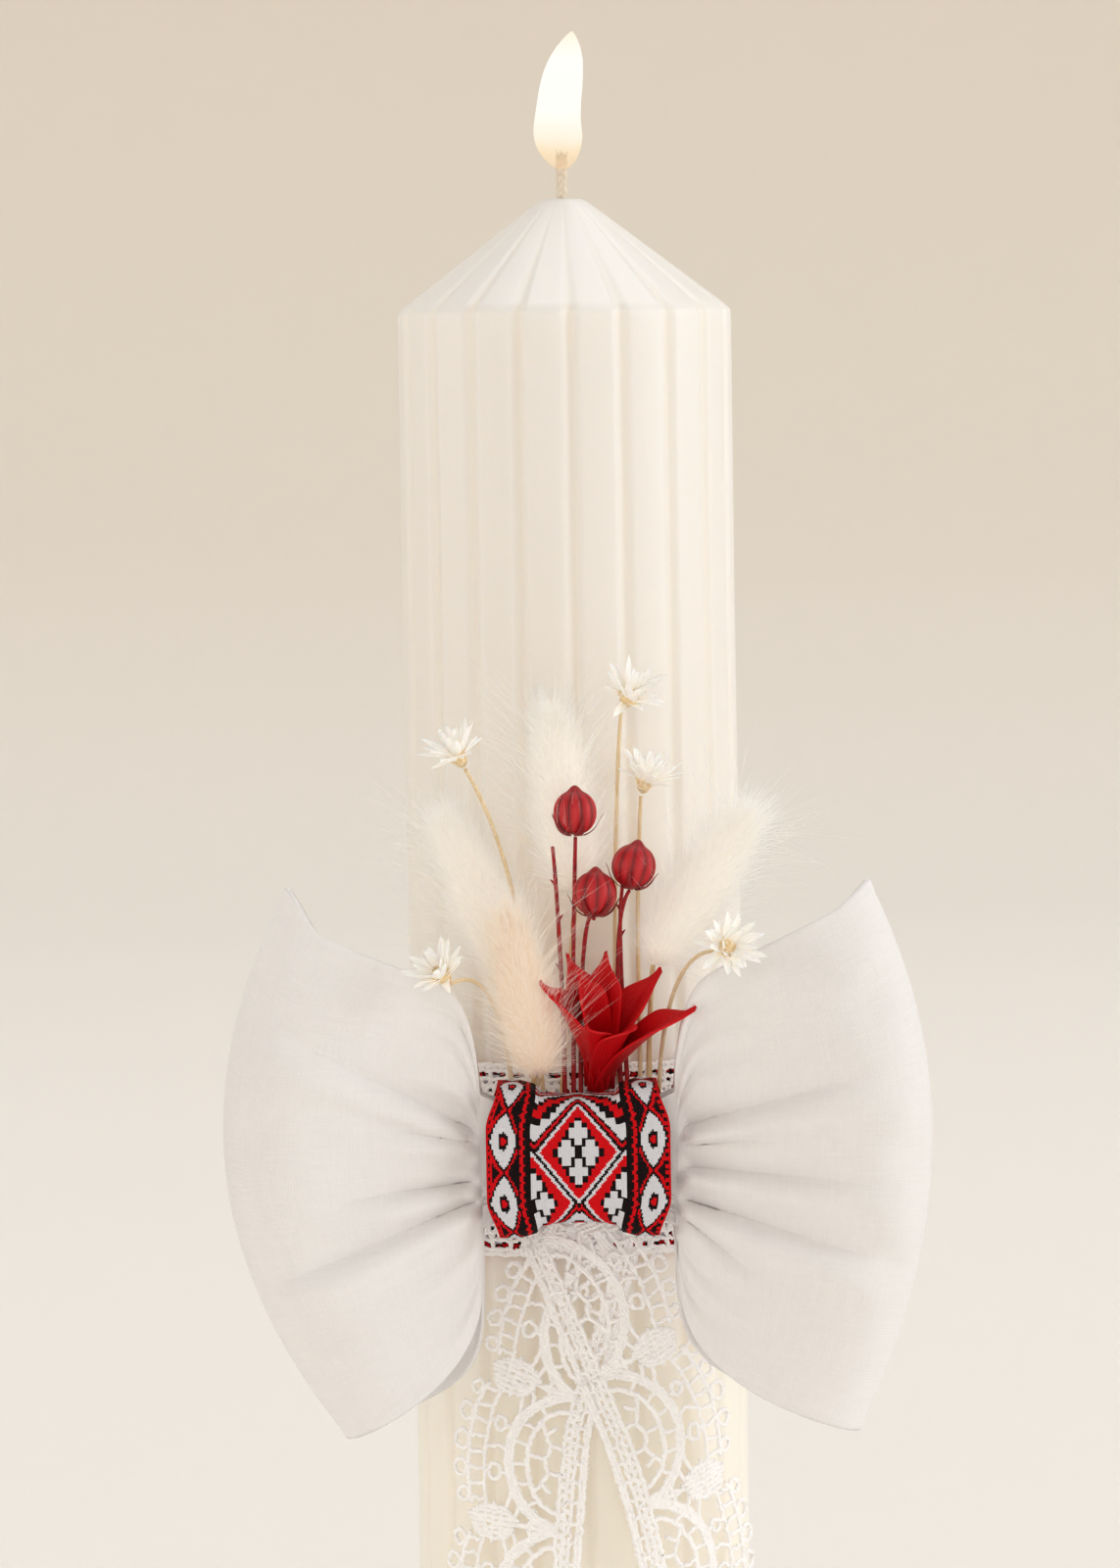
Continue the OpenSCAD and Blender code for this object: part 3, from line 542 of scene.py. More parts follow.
def folk_pattern(x, y):
    """Thread colour of the woven ribbon, x across from its middle and y along it, in mm."""
    dye = np.full(x.shape, RED)
    side = np.abs(x)
    y = y - RHOMB_Y
    near, low = nearest(y, RHOMB_STEP), nearest(y + HALF_Y, RHOMB_STEP)
    whole, part = rhomb(x, near), rhomb(side - HALF_X, low)
    # Stepped corners: white steps along the rhombs, black squares, and red in the middle
    cell_x, cell_y = np.floor(side / STAIR_X), np.floor(y / STAIR_Y)
    stair_x, stair_y = (cell_x + 0.5) * STAIR_X, (cell_y + 0.5) * STAIR_Y
    stairs = np.minimum(rhomb(stair_x, nearest(stair_y, RHOMB_STEP)),
                        rhomb(stair_x - HALF_X, nearest(stair_y + HALF_Y, RHOMB_STEP)))
    ring = np.minimum(whole, part)
    dye[(stairs > 1.28) & (stairs < 1.42)] = BLACK
    dye[(stairs > 1.55) & ((cell_x + cell_y) % 2 == 0)] = BLACK
    dye[stairs <= 1.28] = WHITE
    dye[ring < 1.085] = BLACK
    # Each rhomb has an outer red line, a black and a white one. Two rhombs side by side share the black one
    dye[ring < 1.035] = RED
    for level in (part, whole):
        dye[(level < 0.965) & (level >= 0.885)] = BLACK
        dye[(level < 0.885) & (level >= 0.81)] = WHITE
    crosses(dye, x, near, whole < 0.79)
    crosses(dye, side - HALF_X, low, part < 0.79)
    # Black stripe with a red zigzag
    dye[side > PANEL_X] = BLACK
    zigzag = 9.6 + 0.5 * np.abs((y / 0.7) % 2 - 1)
    dye[(side > PANEL_X) & (np.abs(side - zigzag) < 0.33)] = RED
    # Border panel: a column of white diamonds with black corners between them
    edge = side > STRIPE_X
    dye[edge] = RED
    along = np.abs(nearest(y - 1.6, DIAMOND_STEP))
    inner = DIAMOND_X - side
    across, gap = np.abs(inner), DIAMOND_STEP / 2 - along
    dye[edge & (inner > 0.7) & (gap < (inner - 0.7) * 1.7)] = BLACK
    dye[edge & (inner < -0.8) & (inner > -1.9) & (gap < (-inner - 0.8) * 1.3)] = BLACK
    diamond = (across / 2.25) ** 1.3 + (along / 4.2) ** 1.3
    dye[edge & (diamond < 1.2)] = BLACK
    dye[edge & (diamond < 1.0)] = WHITE
    eye = np.maximum(across / 0.85, along / 1.5) * 0.6 + (across / 0.85 + along / 1.5) * 0.4
    dye[edge & (eye < 1.0)] = BLACK
    dye[edge & (eye < 0.5)] = RED
    # The outermost threads
    dye[(side > 15.2) & (side < 15.6) & ((y % 1.1) < 0.5)] = BLACK
    dye[side >= 15.6] = RED
    return dye


def make_ribbon_cloth():
    cloth = Surface("woven_ribbon", Roughness=0.7, Specular_IOR_Level=0.08)
    flat = cloth.attribute("flat", "Vector")
    wear = cloth.noise(2.2, cloth.stretch(flat, 1.0, 0.35, 1.0), detail=4.0)
    worn = cloth.mix(cloth.span(wear, 0.0, 0.06), cloth.attribute("dye", "Color"), (120, 90, 90))
    warp = cloth.wave(flat, 0.5 / 0.44, "X", 0.4)
    weft = cloth.wave(flat, 0.5 / 0.62, "Y", 0.6)
    cloth.color(cloth.mix(cloth.span(warp, 0.16, 0.0), worn, (40, 8, 10)))
    cloth.bump(cloth.add(cloth.times(warp, 0.75), cloth.times(weft, 0.35)), 0.7, 0.18)
    return cloth.material


RIBBON_CLOTH = make_ribbon_cloth()


def ribbon_loop(name, length, at):
    """A closed loop of ribbon. at(x, s, depth) gives a point, with s the share of the way round."""
    across = np.arange(-RIBBON_W / 2, RIBBON_W / 2 + 0.01, THREAD_W)
    rows, columns = int(round(length / STITCH)), len(across)
    s = np.arange(rows) / rows
    x, y = np.meshgrid(across, (s - 0.5) * length)
    dye = folk_pattern((x[:, 1:] + x[:, :-1]) / 2, y[:, 1:] + 0.5 * STITCH)
    # Each point stands out by the mean of the four stitches round it
    raised = np.zeros(x.shape)
    for dx in (0, 1):
        for dy in (0, 1):
            raised[:, dx:columns - 1 + dx] += np.roll(THREAD_LIFT[dye], dy, 0) / 4
    raised[:, [0, -1]] *= 2
    s = np.repeat(s[:, None], columns, 1)
    shape = Shape()
    outer, inner = at(x, s, raised - THREAD_SINK), at(x, s, np.full(x.shape, -BAND_T))
    shape.band(outer, inner, np.stack([x, y, 0 * x], -1))
    thing = build(name, shape, RIBBON_CLOTH)
    # The stitches are coloured face by face, in the order that the faces were made
    each = np.concatenate([dye.reshape(-1), np.full(dye.size, LINING), np.full(2 * rows, RED)])
    colors = np.repeat(DYES[each], 4, 0).astype(np.float32)
    thing.data.color_attributes.new("dye", "FLOAT_COLOR", "CORNER").data.foreach_set("color", colors.ravel())
    return thing


def make_ring():
    outer = BAND_IN + BAND_T

    def at(x, s, depth):
        out = outward(2 * np.pi * s + np.pi / 2) * (outer + depth)[..., None]
        return out + np.stack([0 * x, 0 * x, RING_Z + x], -1)

    ring = ribbon_loop("ribbon_ring", 2 * np.pi * outer, at)
    settle(ring, "ribbon_ring", "woven_ribbon", "candle_band")


def squared(value, power=0.35):
    """Turns a sine or cosine into that of a rounded rectangle."""
    return np.sign(value) * np.abs(value) ** power


def make_thread():
    thread = Surface("gather_thread", Roughness=0.8)
    ply = thread.wave(thread.place, 900.0, "DIAGONAL", 1.0)
    thread.color(thread.ramp(ply, (0.2, (214, 210, 202)), (0.8, (242, 240, 234))))
    thread.bump(ply, 0.8, 0.15)
    turns, radius, half_x, half_y, half_z = 4, 0.33, 1.15, 4.5, 8.5
    t = np.linspace(0, turns * 2 * np.pi, turns * 60)
    line = np.stack([lerp(-half_x, half_x, t / t[-1]), -ROOT_MID + half_y * squared(np.cos(t)),
                     BOW_Z + half_z * squared(np.sin(t))], -1)
    shape = Shape()
    shape.tube(line, radius, 8, (1.0, 0.0, 0.0))
    settle(build("gather_turns", shape, thread.material), "bow", "thread", "gather_thread")


KNOT_LOW, KNOT_HIGH, KNOT_FRONT, KNOT_DRAWN, BORDER_SHARE = 22.0, 27.0, 2.6, 0.13, 0.23


def make_knot():
    half_back = ROOT_MID - KNOT_BACK
    w, border = RIBBON_W / 2, RIBBON_W * BORDER_SHARE
    # Heights of the knot at distances from its middle
    widths = [0, 4, w - border - 1.2, w - border, w - border * 0.6, w]
    heights = lerp(KNOT_LOW, KNOT_HIGH, np.array([0, 0, 0.2, 0.72, 1, 1]))
    fine = np.linspace(0, 2 * np.pi, 4001)

    def outline(half_z, inset):
        """Points round the knot at one x, evenly spaced, from the back round the bottom and the front."""
        back = np.cos(fine) > 0
        power = np.where(back, 0.2, 0.5)
        half_y = np.where(back, half_back, half_back + KNOT_FRONT) - inset
        ring = np.stack([half_y * squared(np.cos(fine), power),
                         -(half_z - inset) * squared(np.sin(fine), power)], -1)
        way = np.concatenate([[0], np.cumsum(np.linalg.norm(np.diff(ring, axis=0), axis=1))])
        return lambda s: np.stack([np.interp(s * way[-1], way, ring[:, k]) for k in (0, 1)], -1)

    def at(x, s, depth):
        out = np.zeros(x.shape + (3,))
        for j in range(x.shape[1]):
            h = np.interp(abs(x[0, j]), widths, heights) / 2
            level = -depth[:, j].min() if depth[:, j].max() < -0.5 else 0.0
            ring = outline(h, level)(s[:, j])
            if level == 0.0:
                ring = ring + unit(ring * [1, 0.6]) * depth[:, j:j + 1]
            drawn = 1 - KNOT_DRAWN * smooth((np.abs(ring[:, 1]) / h - 0.45) / 0.55)
            out[:, j] = np.stack([x[:, j] * drawn, -ROOT_MID + ring[:, 0], BOW_Z + ring[:, 1]], -1)
        return out

    ring = outline(KNOT_LOW / 2, 0.0)(np.linspace(0, 1, 4001))
    length = np.linalg.norm(np.diff(ring, axis=0), axis=1).sum()
    knot = ribbon_loop("knot_ribbon", length, at)
    settle(knot, "bow", "woven_ribbon", "knot_band")


make_ring()
make_thread()
make_knot()


# Linen bow, each value for the left and the right loop where it has two

# Each crease is [height at the knot, slope in degrees, length, depth], and each dimple near the fold is
# [place across the loop from -1 to 1, distance from the knot, depth]
CREASES = (((4.6, 30, 42, 2.5), (3.2, 12, 24, 1.5), (-3.4, -5, 28, 2.6), (-6.6, -20, 46, 2.9)),
           ((4.8, 18, 38, 2.4), (2.4, 4, 22, 1.5), (-1.6, -3, 36, 2.7), (-7.0, -16, 44, 2.9),
            (-9.4, -38, 18, 1.7)))
DIMPLES = (((0.12, 0.72, 0.8), (-0.62, 0.6, 1.0)), ((0.0, 0.74, 1.5), (-0.4, 0.7, 1.3), (0.62, 0.62, 0.8)))
CREASE_HOLD, CREASE_W, CREASE_GROWTH = 0.45, 0.9, 0.055
LOOP_SAG = ((17.0, 14.5), (11.0, 13.0))
FRONT_SPREAD, BACK_LOWER = ((0.28, 0.47, 0.38), (0.26, 0.49, 0.46)), (0.16, 0.2)
FLARE_W, CORNER_SHARE, BACK_DROP, ROOT_SHARE = 0.05, 0.2, 2.4, 0.12
LOOP_FRONT, LOOP_BACK, SWELL_LAG, EDGE_SWELL = 12.0, 7.0, 1.25, 0.6
EXIT_X, EXIT_H, BOW_W, LOOP_H = 17.0, 23.6, 123.0, 96.0


def loop_at(side, e, w):
    """A point on the middle surface of a loop: e from -1 at the front root over 0 at the fold to 1 at the
    back root, w from -1 at the lower edge to 1 at the upper edge."""
    front = e < 0
    d = 1 - np.abs(e)
    q = clamp((d - ROOT_SHARE) / (1 - ROOT_SHARE)) ** 1.5
    out = np.sin(np.pi / 2 * q)
    lower, flare, rise = FRONT_SPREAD[side]
    risen = flare * (1 - np.exp(-out / FLARE_W)) + rise * out
    risen = risen + (1 - flare - rise) * smooth((out - 1 + CORNER_SHARE) / CORNER_SHARE)
    spread = lerp(out ** np.where(front, lower, BACK_LOWER[side]), risen, smooth((w + 1) / 2))
    inside = clamp(d / ROOT_SHARE)
    full = np.where(front, LOOP_FRONT * lerp(1, EDGE_SWELL, w * w), LOOP_BACK)
    swell = full * np.abs(np.sin(np.pi * q ** np.where(front, SWELL_LAG, 1.0))) ** 0.9
    sag = np.where(w > 0.1, LOOP_SAG[side][1], LOOP_SAG[side][0])
    reach = BOW_W / 2 - sag * (w - 0.1) ** 2
    root_x, root_z = lerp(0.1, EXIT_X, inside), w * lerp(ROOT_H - LINEN_T, EXIT_H, inside ** 2) / 2
    x = np.where(q > 0, lerp(EXIT_X, reach, out), root_x)
    z = np.where(q > 0, w * lerp(EXIT_H, LOOP_H, spread) / 2, root_z)
    behind = np.where(front, 0.0, smooth(q / 0.1) * (1 - smooth((q - 0.6) / 0.4)))
    z = z - BACK_DROP * behind * smooth(2 * w)
    dent = np.zeros(e.shape)
    for start, slope, length, depth in CREASES[side]:
        c, s = math.cos(math.radians(slope)), math.sin(math.radians(slope))
        far = (x - EXIT_X) * c + (z - start) * s
        off = (z - start) * c - (x - EXIT_X) * s
        wide = CREASE_W + CREASE_GROWTH * np.maximum(far, 0)
        fade = smooth(far / 3) * (1 - smooth((far / length - CREASE_HOLD) / (1.1 - CREASE_HOLD)))
        valley = np.where(off > 0, np.exp(-off / (2.4 * wide)), np.exp(-(off / (0.6 * wide)) ** 2))
        crest = 0.6 * np.exp(-((off + 1.9 * wide) / (1.1 * wide)) ** 2)
        dent += depth * fade * (valley - crest) * (1 - smooth((q - 0.75) / 0.25))
    for middle, far, depth in DIMPLES[side]:
        off = w - middle
        fade = np.exp(-((q - far) / 0.13) ** 2)
        dent += depth * fade * (np.exp(-(off / 0.1) ** 2) - 0.7 * np.exp(-((off - 0.17) / 0.09) ** 2))
    # Fine gathers that run out of the knot and fade
    gather = 0.5 * np.sin(23 * w + 2.0 * side) + 0.35 * np.sin(37 * w + 1.3 - side)
    dent += gather * smooth(q / 0.04) * (1 - smooth(q / 0.3)) * np.where(front, 1.0, 0.5)
    # Slow unevenness of the cloth
    dent += 0.55 * np.sin(3.1 * w + 5 * q + side) * np.sin(np.pi * np.clip(q, 0, 1))
    thick = (ROOT_T - LINEN_T) / 2 * np.cos(np.pi / 2 * q) + swell - np.where(front, dent, 0.3 * dent)
    depth = ROOT_MID + np.where(front, 1, -1) * thick
    return np.stack([(-1 if side == 0 else 1) * x, -depth, BOW_Z + z], -1)


def make_linen():
    linen = Surface("linen", Roughness=0.82, Sheen_Weight=0.15, Sheen_Roughness=0.5, Specular_IOR_Level=0.2)
    flat = linen.attribute("flat", "Vector")
    weave = linen.times(linen.wave(flat, 0.7, "X", 1.0), linen.wave(flat, 0.7, "Y", 1.0))
    slubs = [linen.times(linen.noise(1.0, linen.stretch(flat, *size, 1.0)), 0.6)
             for size in ((0.12, 3.2), (3.2, 0.1))]
    shade = linen.add(*slubs)
    cloth = linen.ramp(shade, (0.38, (247, 246, 246)), (0.6, (250, 249, 249)), (0.8, (253, 252, 252)))
    linen.color(linen.mix(linen.span(weave, 0.06, 0.0), cloth, (220, 216, 214)))
    linen.bump(linen.add(weave, linen.times(shade, 0.8)), 0.4, 0.14)
    linen.blend(linen.shader.outputs[0], linen.node("BsdfTranslucent", {0: cloth}), 0.2)
    return linen.material


def make_loops():
    linen = make_linen()
    rows, columns = 221, 161
    e, w = np.meshgrid(np.linspace(-1, 1, rows), np.linspace(-1, 1, columns), indexing="ij")
    # A turned hem along both long edges is a little thicker than the cloth
    half = LINEN_T * (0.32 + 0.18 * smooth((np.abs(w) - 0.955) / 0.015))
    for side, name in enumerate(("left", "right")):
        middle = loop_at(side, e, w)
        normal = normals(lambda a, b: loop_at(side, a, b), e, w, -1, 0.004)
        steps = np.linalg.norm(np.diff(middle[:, columns // 2], axis=0), axis=1)
        length = np.concatenate([[0], np.cumsum(steps)])
        flat = np.stack([np.repeat(length[:, None], columns, 1), w * LOOP_H / 2, 0 * w], -1)
        shape = Shape()
        shape.plate(middle, normal * (half if side == 0 else -half)[..., None], 0.0, flat)
        loop = build("linen_loop_" + name, shape, linen)
        settle(loop, "bow", "linen", "bow_loop_" + name)


make_loops()


# Lace, drawn as cords. Each cord is [points, radius], with u across from the straight selvage and s along
# one repeat, in mm

REPEAT, PATTERN_W = 26.2, 30.0
CORD_STEP, CORD_JITTER, CORD_LIFT, CORD_FLAT = 0.62, 0.13, 0.03, 0.37
FAN_LOW, FAN_OUT, FAN_IN = 4.9, (10.9, 12.9, 1.25), (7.1, 10.0, 1.1)


def arc(across, half, power, n):
    """A fan's arc over the middle of one repeat."""
    t = np.linspace(0, np.pi, n)
    return np.stack([FAN_LOW + across * np.sin(t) ** power, REPEAT / 2 - half * np.cos(t)], -1)


def circle(u, s, ru, rs):
    t = np.linspace(0, 2 * np.pi, 15)
    return np.stack([u + ru * np.cos(t), s + rs * np.sin(t)], -1)


def beside(line, distance):
    """A line beside another one."""
    way = unit(np.gradient(line, axis=0))
    return line + np.reshape(distance, (-1, 1)) * np.stack([-way[:, 1], way[:, 0]], -1)


def selvage():
    """The straight edge: a corded rim, a row of slits and a dense corded band."""
    cords = []
    for u, radius in ((0.5, 0.44), (1.2, 0.34), (2.55, 0.36), (3.75, 0.38), (4.95, 0.42)):
        cords.append((np.stack([np.full(30, u), np.linspace(0, REPEAT, 30)], -1), radius))
    for low, high, step, radius in ((0.1, 1.2, 0.7, 0.28), (2.5, 5.1, 0.95, 0.34)):
        s = np.linspace(0, REPEAT, int(round(REPEAT / step)) + 1)
        cords.append((np.stack([np.where(np.arange(len(s)) % 2 == 0, low, high), s], -1), radius))
    slits = 7
    for k in range(slits):
        s = REPEAT * (k + 0.5) / slits
        cords.append((np.array([[1.1, s], [1.9, s + 0.2], [2.7, s]]), 0.42))
    return cords


def fan():
    """A thick ribbed arc and a thinner one inside it, bars between them, and a net of open cells."""
    ribs = 74
    cords = [(beside(arc(*FAN_OUT, 40), d), 0.4) for d in (-0.62, 0.0, 0.62)]
    cords.append((beside(arc(*FAN_OUT, ribs), np.where(np.arange(ribs) % 2 == 0, 0.85, -0.85)), 0.27))
    cords.append((arc(*FAN_IN, 40), 0.52))
    outer, inner = arc(*FAN_OUT, 201), arc(*FAN_IN, 201)
    for t in (0.2, 0.33, 0.44, 0.56, 0.67, 0.8):
        cords.append((np.linspace(inner[int(t * 200)], outer[int((0.06 + 0.88 * t) * 200)], 6), 0.4))
    spine = np.array([[8.8, 8.6], [7.4, 10.8], [8.6, 13.3], [7.4, 15.8], [8.8, 18.0]])
    cords.append((spine, 0.42))
    for node, end, n, radius in ((0, inner[52], 5, 0.42), (2, inner[100], 5, 0.42), (4, inner[148], 5, 0.42),
                                 (1, [5.0, 10.6], 5, 0.43), (3, [5.0, 16.0], 5, 0.43),
                                 (0, [6.6, 7.0], 4, 0.42), (4, [6.6, 19.4], 4, 0.42)):
        cords.append((np.linspace(spine[node], end, n), radius))
    return cords


def medallion(s0, turn):
    """Half of the small cells round a dense ribbed oval at one end of the repeat."""
    cords, middle = [], 17.8
    t = np.linspace(-1, 1, 14)
    for k in range(-3, 4):
        reach = (5.2 + 0.5 * math.sin(5 * k)) * math.sqrt(1 - (k / 3.9) ** 2)
        cords.append((np.stack([middle + reach * t, s0 + 0.95 * k * (1 - 0.2 * t * t)], -1), 0.38))
    for k in range(-2, 3):
        reach = (3.4 + 0.4 * math.cos(4 * k)) * math.sqrt(1 - (k / 2.9) ** 2)
        cords.append((np.stack([np.full(8, middle + 1.75 * k), s0 + np.linspace(-reach, reach, 8)], -1), 0.3))
    cords.append((np.array([[12.9, s0], [10.4, s0 + turn * 0.35], [7.6, s0 - turn * 0.2], [5.0, s0]]), 0.4))
    for u0, ds0, u1, ds1 in ((10.6, 0.2, 9.4, 3.2), (7.4, 0.0, 6.9, 1.6),
                             (13.4, 1.4, 12.4, 4.9), (15.4, 2.7, 14.4, 7.2)):
        cords.append((np.array([[u0, s0 + turn * ds0], [(u0 + u1) / 2 - 0.2, s0 + turn * (ds0 + ds1) / 2],
                                [u1, s0 + turn * ds1]]), 0.42))
    return cords


def scalloped_edge():
    """A ladder of two rails, rings between it and the fan, and a row of loops outside."""
    s = np.linspace(2.4, REPEAT - 2.4, 30)
    swell = np.sin(np.pi * s / REPEAT) ** 0.7
    rail_in, rail_out = 18.4 + 2.5 * swell, 21.4 + 3.3 * swell
    cords = [(np.stack([rail_in, s], -1), 0.38), (np.stack([rail_out, s], -1), 0.44)]
    for k in range(8):
        at = lerp(3.6, REPEAT - 3.6, k / 7)
        cords.append((np.stack([np.linspace(np.interp(at, s, rail_in), np.interp(at, s, rail_out), 5),
                                at + 0.25 * np.sin(k * 2.3) * np.linspace(-1, 1, 5)], -1), 0.42))
    for u0, s0, size in ((18.1, 8.6, 1.15), (18.4, 17.2, 1.35)):
        cords.append((circle(u0, s0, size, size * 1.05), 0.44))
        cords.append((np.array([[u0 + size, s0], [u0 + 1.9, s0 - 0.2], [20.6, s0]]), 0.42))
        cords.append((np.array([[u0 - size, s0], [u0 - 1.7, s0 + 0.2], [15.6, s0 + 0.3]]), 0.42))
    cords.append((np.array([[16.2, 13.0], [18.2, 12.4], [20.8, 13.4]]), 0.42))
    for s0, size in ((3.9, 1.2), (8.4, 1.4), (13.1, 1.5), (17.8, 1.4), (22.3, 1.2)):
        cords.append((circle(np.interp(s0, s, rail_out) + size + 0.45, s0, size * 1.1, size), 0.42))
    return cords


INNER_CORDS = selvage() + fan() + medallion(0.0, 1) + medallion(REPEAT, -1)
TAIL_CORDS = INNER_CORDS + scalloped_edge()
WRAP_CORDS = INNER_CORDS + [(line * [-1, 1] + [PATTERN_W, 0], radius) for line, radius in selvage()]


def resample(line):
    way = np.concatenate([[0], np.cumsum(np.linalg.norm(np.diff(line, axis=0), axis=1))])
    s = np.linspace(0, way[-1], max(3, int(round(way[-1] / CORD_STEP)) + 1))
    return np.stack([np.interp(s, way, line[:, k]) for k in (0, 1)], -1)


def lace_strip(name, length, surface, cloth, cords, phase=None):
    """Sweeps the cords over a surface. surface(u, s) gives the point and its outward normal. A strip without
    a phase is closed."""
    shape, repeats, closed = Shape(), 8, phase is None
    size = length / repeats if closed else REPEAT
    first = 0.0 if closed else phase
    lines = [(line, radius, k) for k in range(repeats) for line, radius in cords]
    if not closed:
        end = (length - 0.6 - phase) / size * REPEAT
        lines.append((np.stack([np.linspace(0.3, 24.0, 20), np.full(20, end)], -1), 0.5, 0))
    for line, radius, k in lines:
        fine = resample(line)
        jitter = random.normal(0, CORD_JITTER, fine.shape)
        jitter[0] = jitter[-1] = 0
        fine = fine + jitter
        s = (fine[:, 1] / REPEAT + k) * size + first
        keep = closed | (s >= 0.5) & (s <= length - 0.5)
        if keep.sum() < 3:
            continue
        middle, normal = surface(fine[keep, 0] / PATTERN_W, s[keep])
        side = np.cross(unit(np.gradient(middle, axis=0)), normal)
        thick = radius * (1 + 0.16 * np.sin(np.arange(len(middle)) * 2.4 + k))
        middle = middle + random.normal(0, CORD_LIFT) * normal
        shape.skin(section(middle, side, normal, thick, np.minimum(thick, CORD_FLAT), 6))
    return build(name, shape, cloth)


def make_lace_cotton():
    # The weak emission is painted light that lifts the shade among the cords.
    cotton = Surface("lace_cotton", Roughness=0.86, Sheen_Weight=0.3, Sheen_Roughness=0.5,
                     Specular_IOR_Level=0.2, Emission_Color=tint(255, 250, 244), Emission_Strength=0.06)
    fuzz = cotton.noise(900.0, detail=4.0)
    cotton.color(cotton.ramp(fuzz, (0.3, (246, 244, 243)), (0.55, (251, 250, 250)), (0.8, (254, 254, 254))))
    cotton.bump(cotton.add(cotton.wave(cotton.place, 700.0, "DIAGONAL", 3.0), fuzz), 0.6, 0.12)
    return cotton.material


CROSS_TOP = BOW_Z - 2
LACE_PHASE = (41.5 - 2 * REPEAT, 37.7 - 2 * REPEAT)


def tail_path(layer):
    """Middle line of a tail, unrolled: way along it, distance across and down, half width and tilt."""
    top = CROSS_TOP - TAIL_Z
    down = np.linspace(0, top + TAIL_L, 800)
    v = np.maximum(down - top, 0)
    rise = clamp((top - down) / top)
    swing = TAIL_GAP[layer] + TAIL_TURN[layer] * (1 - np.exp(-v / TAIL_BEND))
    across = lerp(TAIL_TOP_W / 2 + TAIL_IN[layer] * np.radians(swing), CROSS_SHIFT, rise)
    half = lerp(lerp(TAIL_TOP_W, LACE_W, clamp(v / TAIL_L)), CROSS_W, rise) / 2
    # The tilt follows the slope, evened out over a window of points
    window = 81
    slope = np.pad(np.gradient(across, down), window // 2, mode="edge")
    slope = np.convolve(slope, np.ones(window) / window, "valid")
    way = np.concatenate([[0], np.cumsum(np.hypot(np.diff(across), np.diff(down)))])
    return way, across, down, half, np.arctan(slope)


def make_lace():
    cotton = make_lace_cotton()
    wrap_r = LACE_IN + LACE_T / 2
    around = 2 * np.pi * wrap_r

    def on_wrap(u, s):
        out = outward(s / wrap_r + np.pi / 2)
        return out * wrap_r + np.stack([0 * s, 0 * s, RING_Z + WRAP_W * (0.5 - u)], -1), out

    wrap = lace_strip("lace_round", around, on_wrap, cotton, WRAP_CORDS)
    settle(wrap, "bow", "lace", "lace_wrap")

    for layer, (name, turn) in enumerate((("left", -1), ("right", 1))):
        r_in, r = TAIL_IN[layer], TAIL_IN[layer] + LACE_T / 2
        way, across, down, half, tilt = tail_path(layer)

        def on_tail(u, s):
            far = (2 * u - 1) * np.interp(s, way, half)
            slant = np.interp(s, way, tilt)
            angle = turn * (np.interp(s, way, across) + far * np.cos(slant)) / r_in
            out = np.stack([np.sin(angle), -np.cos(angle), 0 * angle], -1)
            z = CROSS_TOP - np.interp(s, way, down) + far * np.sin(slant)
            return out * r + np.stack([0 * z, 0 * z, z], -1), out

        tail = lace_strip("lace_tail_cords_" + name, way[-1], on_tail, cotton, TAIL_CORDS, LACE_PHASE[layer])
        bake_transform(tail)
        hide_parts("lace_cross_" + name, "lace_tail_" + name)


make_lace()


# Bouquet. Each flower is [x of the stem's foot, bend of the stem, its end, way that the head faces]

GRASS = ((-8.4, (-8.4, -3, 12), (-6.2, 2.4, 14), (-0.2, 0.32, 1)),
         (-6.7, (-7.4, -3, 20), (-9.6, -4.6, 30.5), (-0.42, 0, 0.9)),
         (-3.7, (-1.5, -5.1, 28), (0.4, -1.2, 46), (-0.12, 0, 1)),
         (12.8, (12.4, -3.2, 22), (13.6, 1, 33), (0.54, 0.06, 0.84)))
STARS = ((-5.2, (-6.4, -5.6, 46), (-18.4, 15.4, 68.8), (-0.45, 0.25, 0.86)),
         (7.8, (6, -6.1, 46), (8.8, -1.6, 78), (0.45, 0.55, 0.7)),
         (11.4, (10.5, -3, 40), (12, -1.6, 62.6), (0.3, 0.1, 0.95)),
         (14.2, (13, -4.6, 36), (24.6, 19.4, 37), (0.42, 0.86, 0.3)),
         (-10.2, (-11, -4.6, 36), (-21.6, 19, 32), (-0.5, 0.6, 0.62)))
# The last two have no pod
FLAX = ((-0.9, (-0.4, -5, 36), (0.4, 8.7, 56.2), (0, 0, 1)),
        (0.5, (0.6, -5.6, 46), (3.4, 8.6, 42), (0.05, -0.1, 1)),
        (9, (5.4, -3.9, 40), (9.6, 6.4, 46.6), (0.2, 0, 1)),
        (-2.2, (-1.9, -4, 34), (-3.6, 5.4, 54.4), None), (10.2, (7, -4.2, 36), (8.5, 1, 47), None))
STEM_LOW, STEM_SEAT = -8, 0.6
# Diameter of each stem's foot, the share of it that is left at the end, and the gap from there to the head
GRASS_STEM, STAR_STEM, FLAX_STEM = (1.1, 0.8), (0.8, 0.85), (0.9, 0.75)
GRASS_GAP, STAR_GAP, POD_GAP = 0.65, 0.5, 0.55
UP = np.array([0, 0, 1.0])


def basis(way):
    """A matrix that turns +Z to a way that is given as right, forward and up."""
    z = unit([way[0], -way[1], way[2]])
    x = unit(np.cross([0.0, 1.0, 0.0], z)) if abs(z[1]) < 0.95 else np.array([1.0, 0, 0])
    return np.stack([x, np.cross(z, x), z], -1)


def make_stem_skin(name, pale, dark):
    skin = Surface(name, Roughness=0.7)
    grain = skin.noise(1.0, skin.stretch(skin.place, 2500, 2500, 220))
    skin.color(skin.ramp(grain, (0.3, dark), (0.7, pale)))
    skin.bump(grain, 0.5, 0.1)
    return skin.material


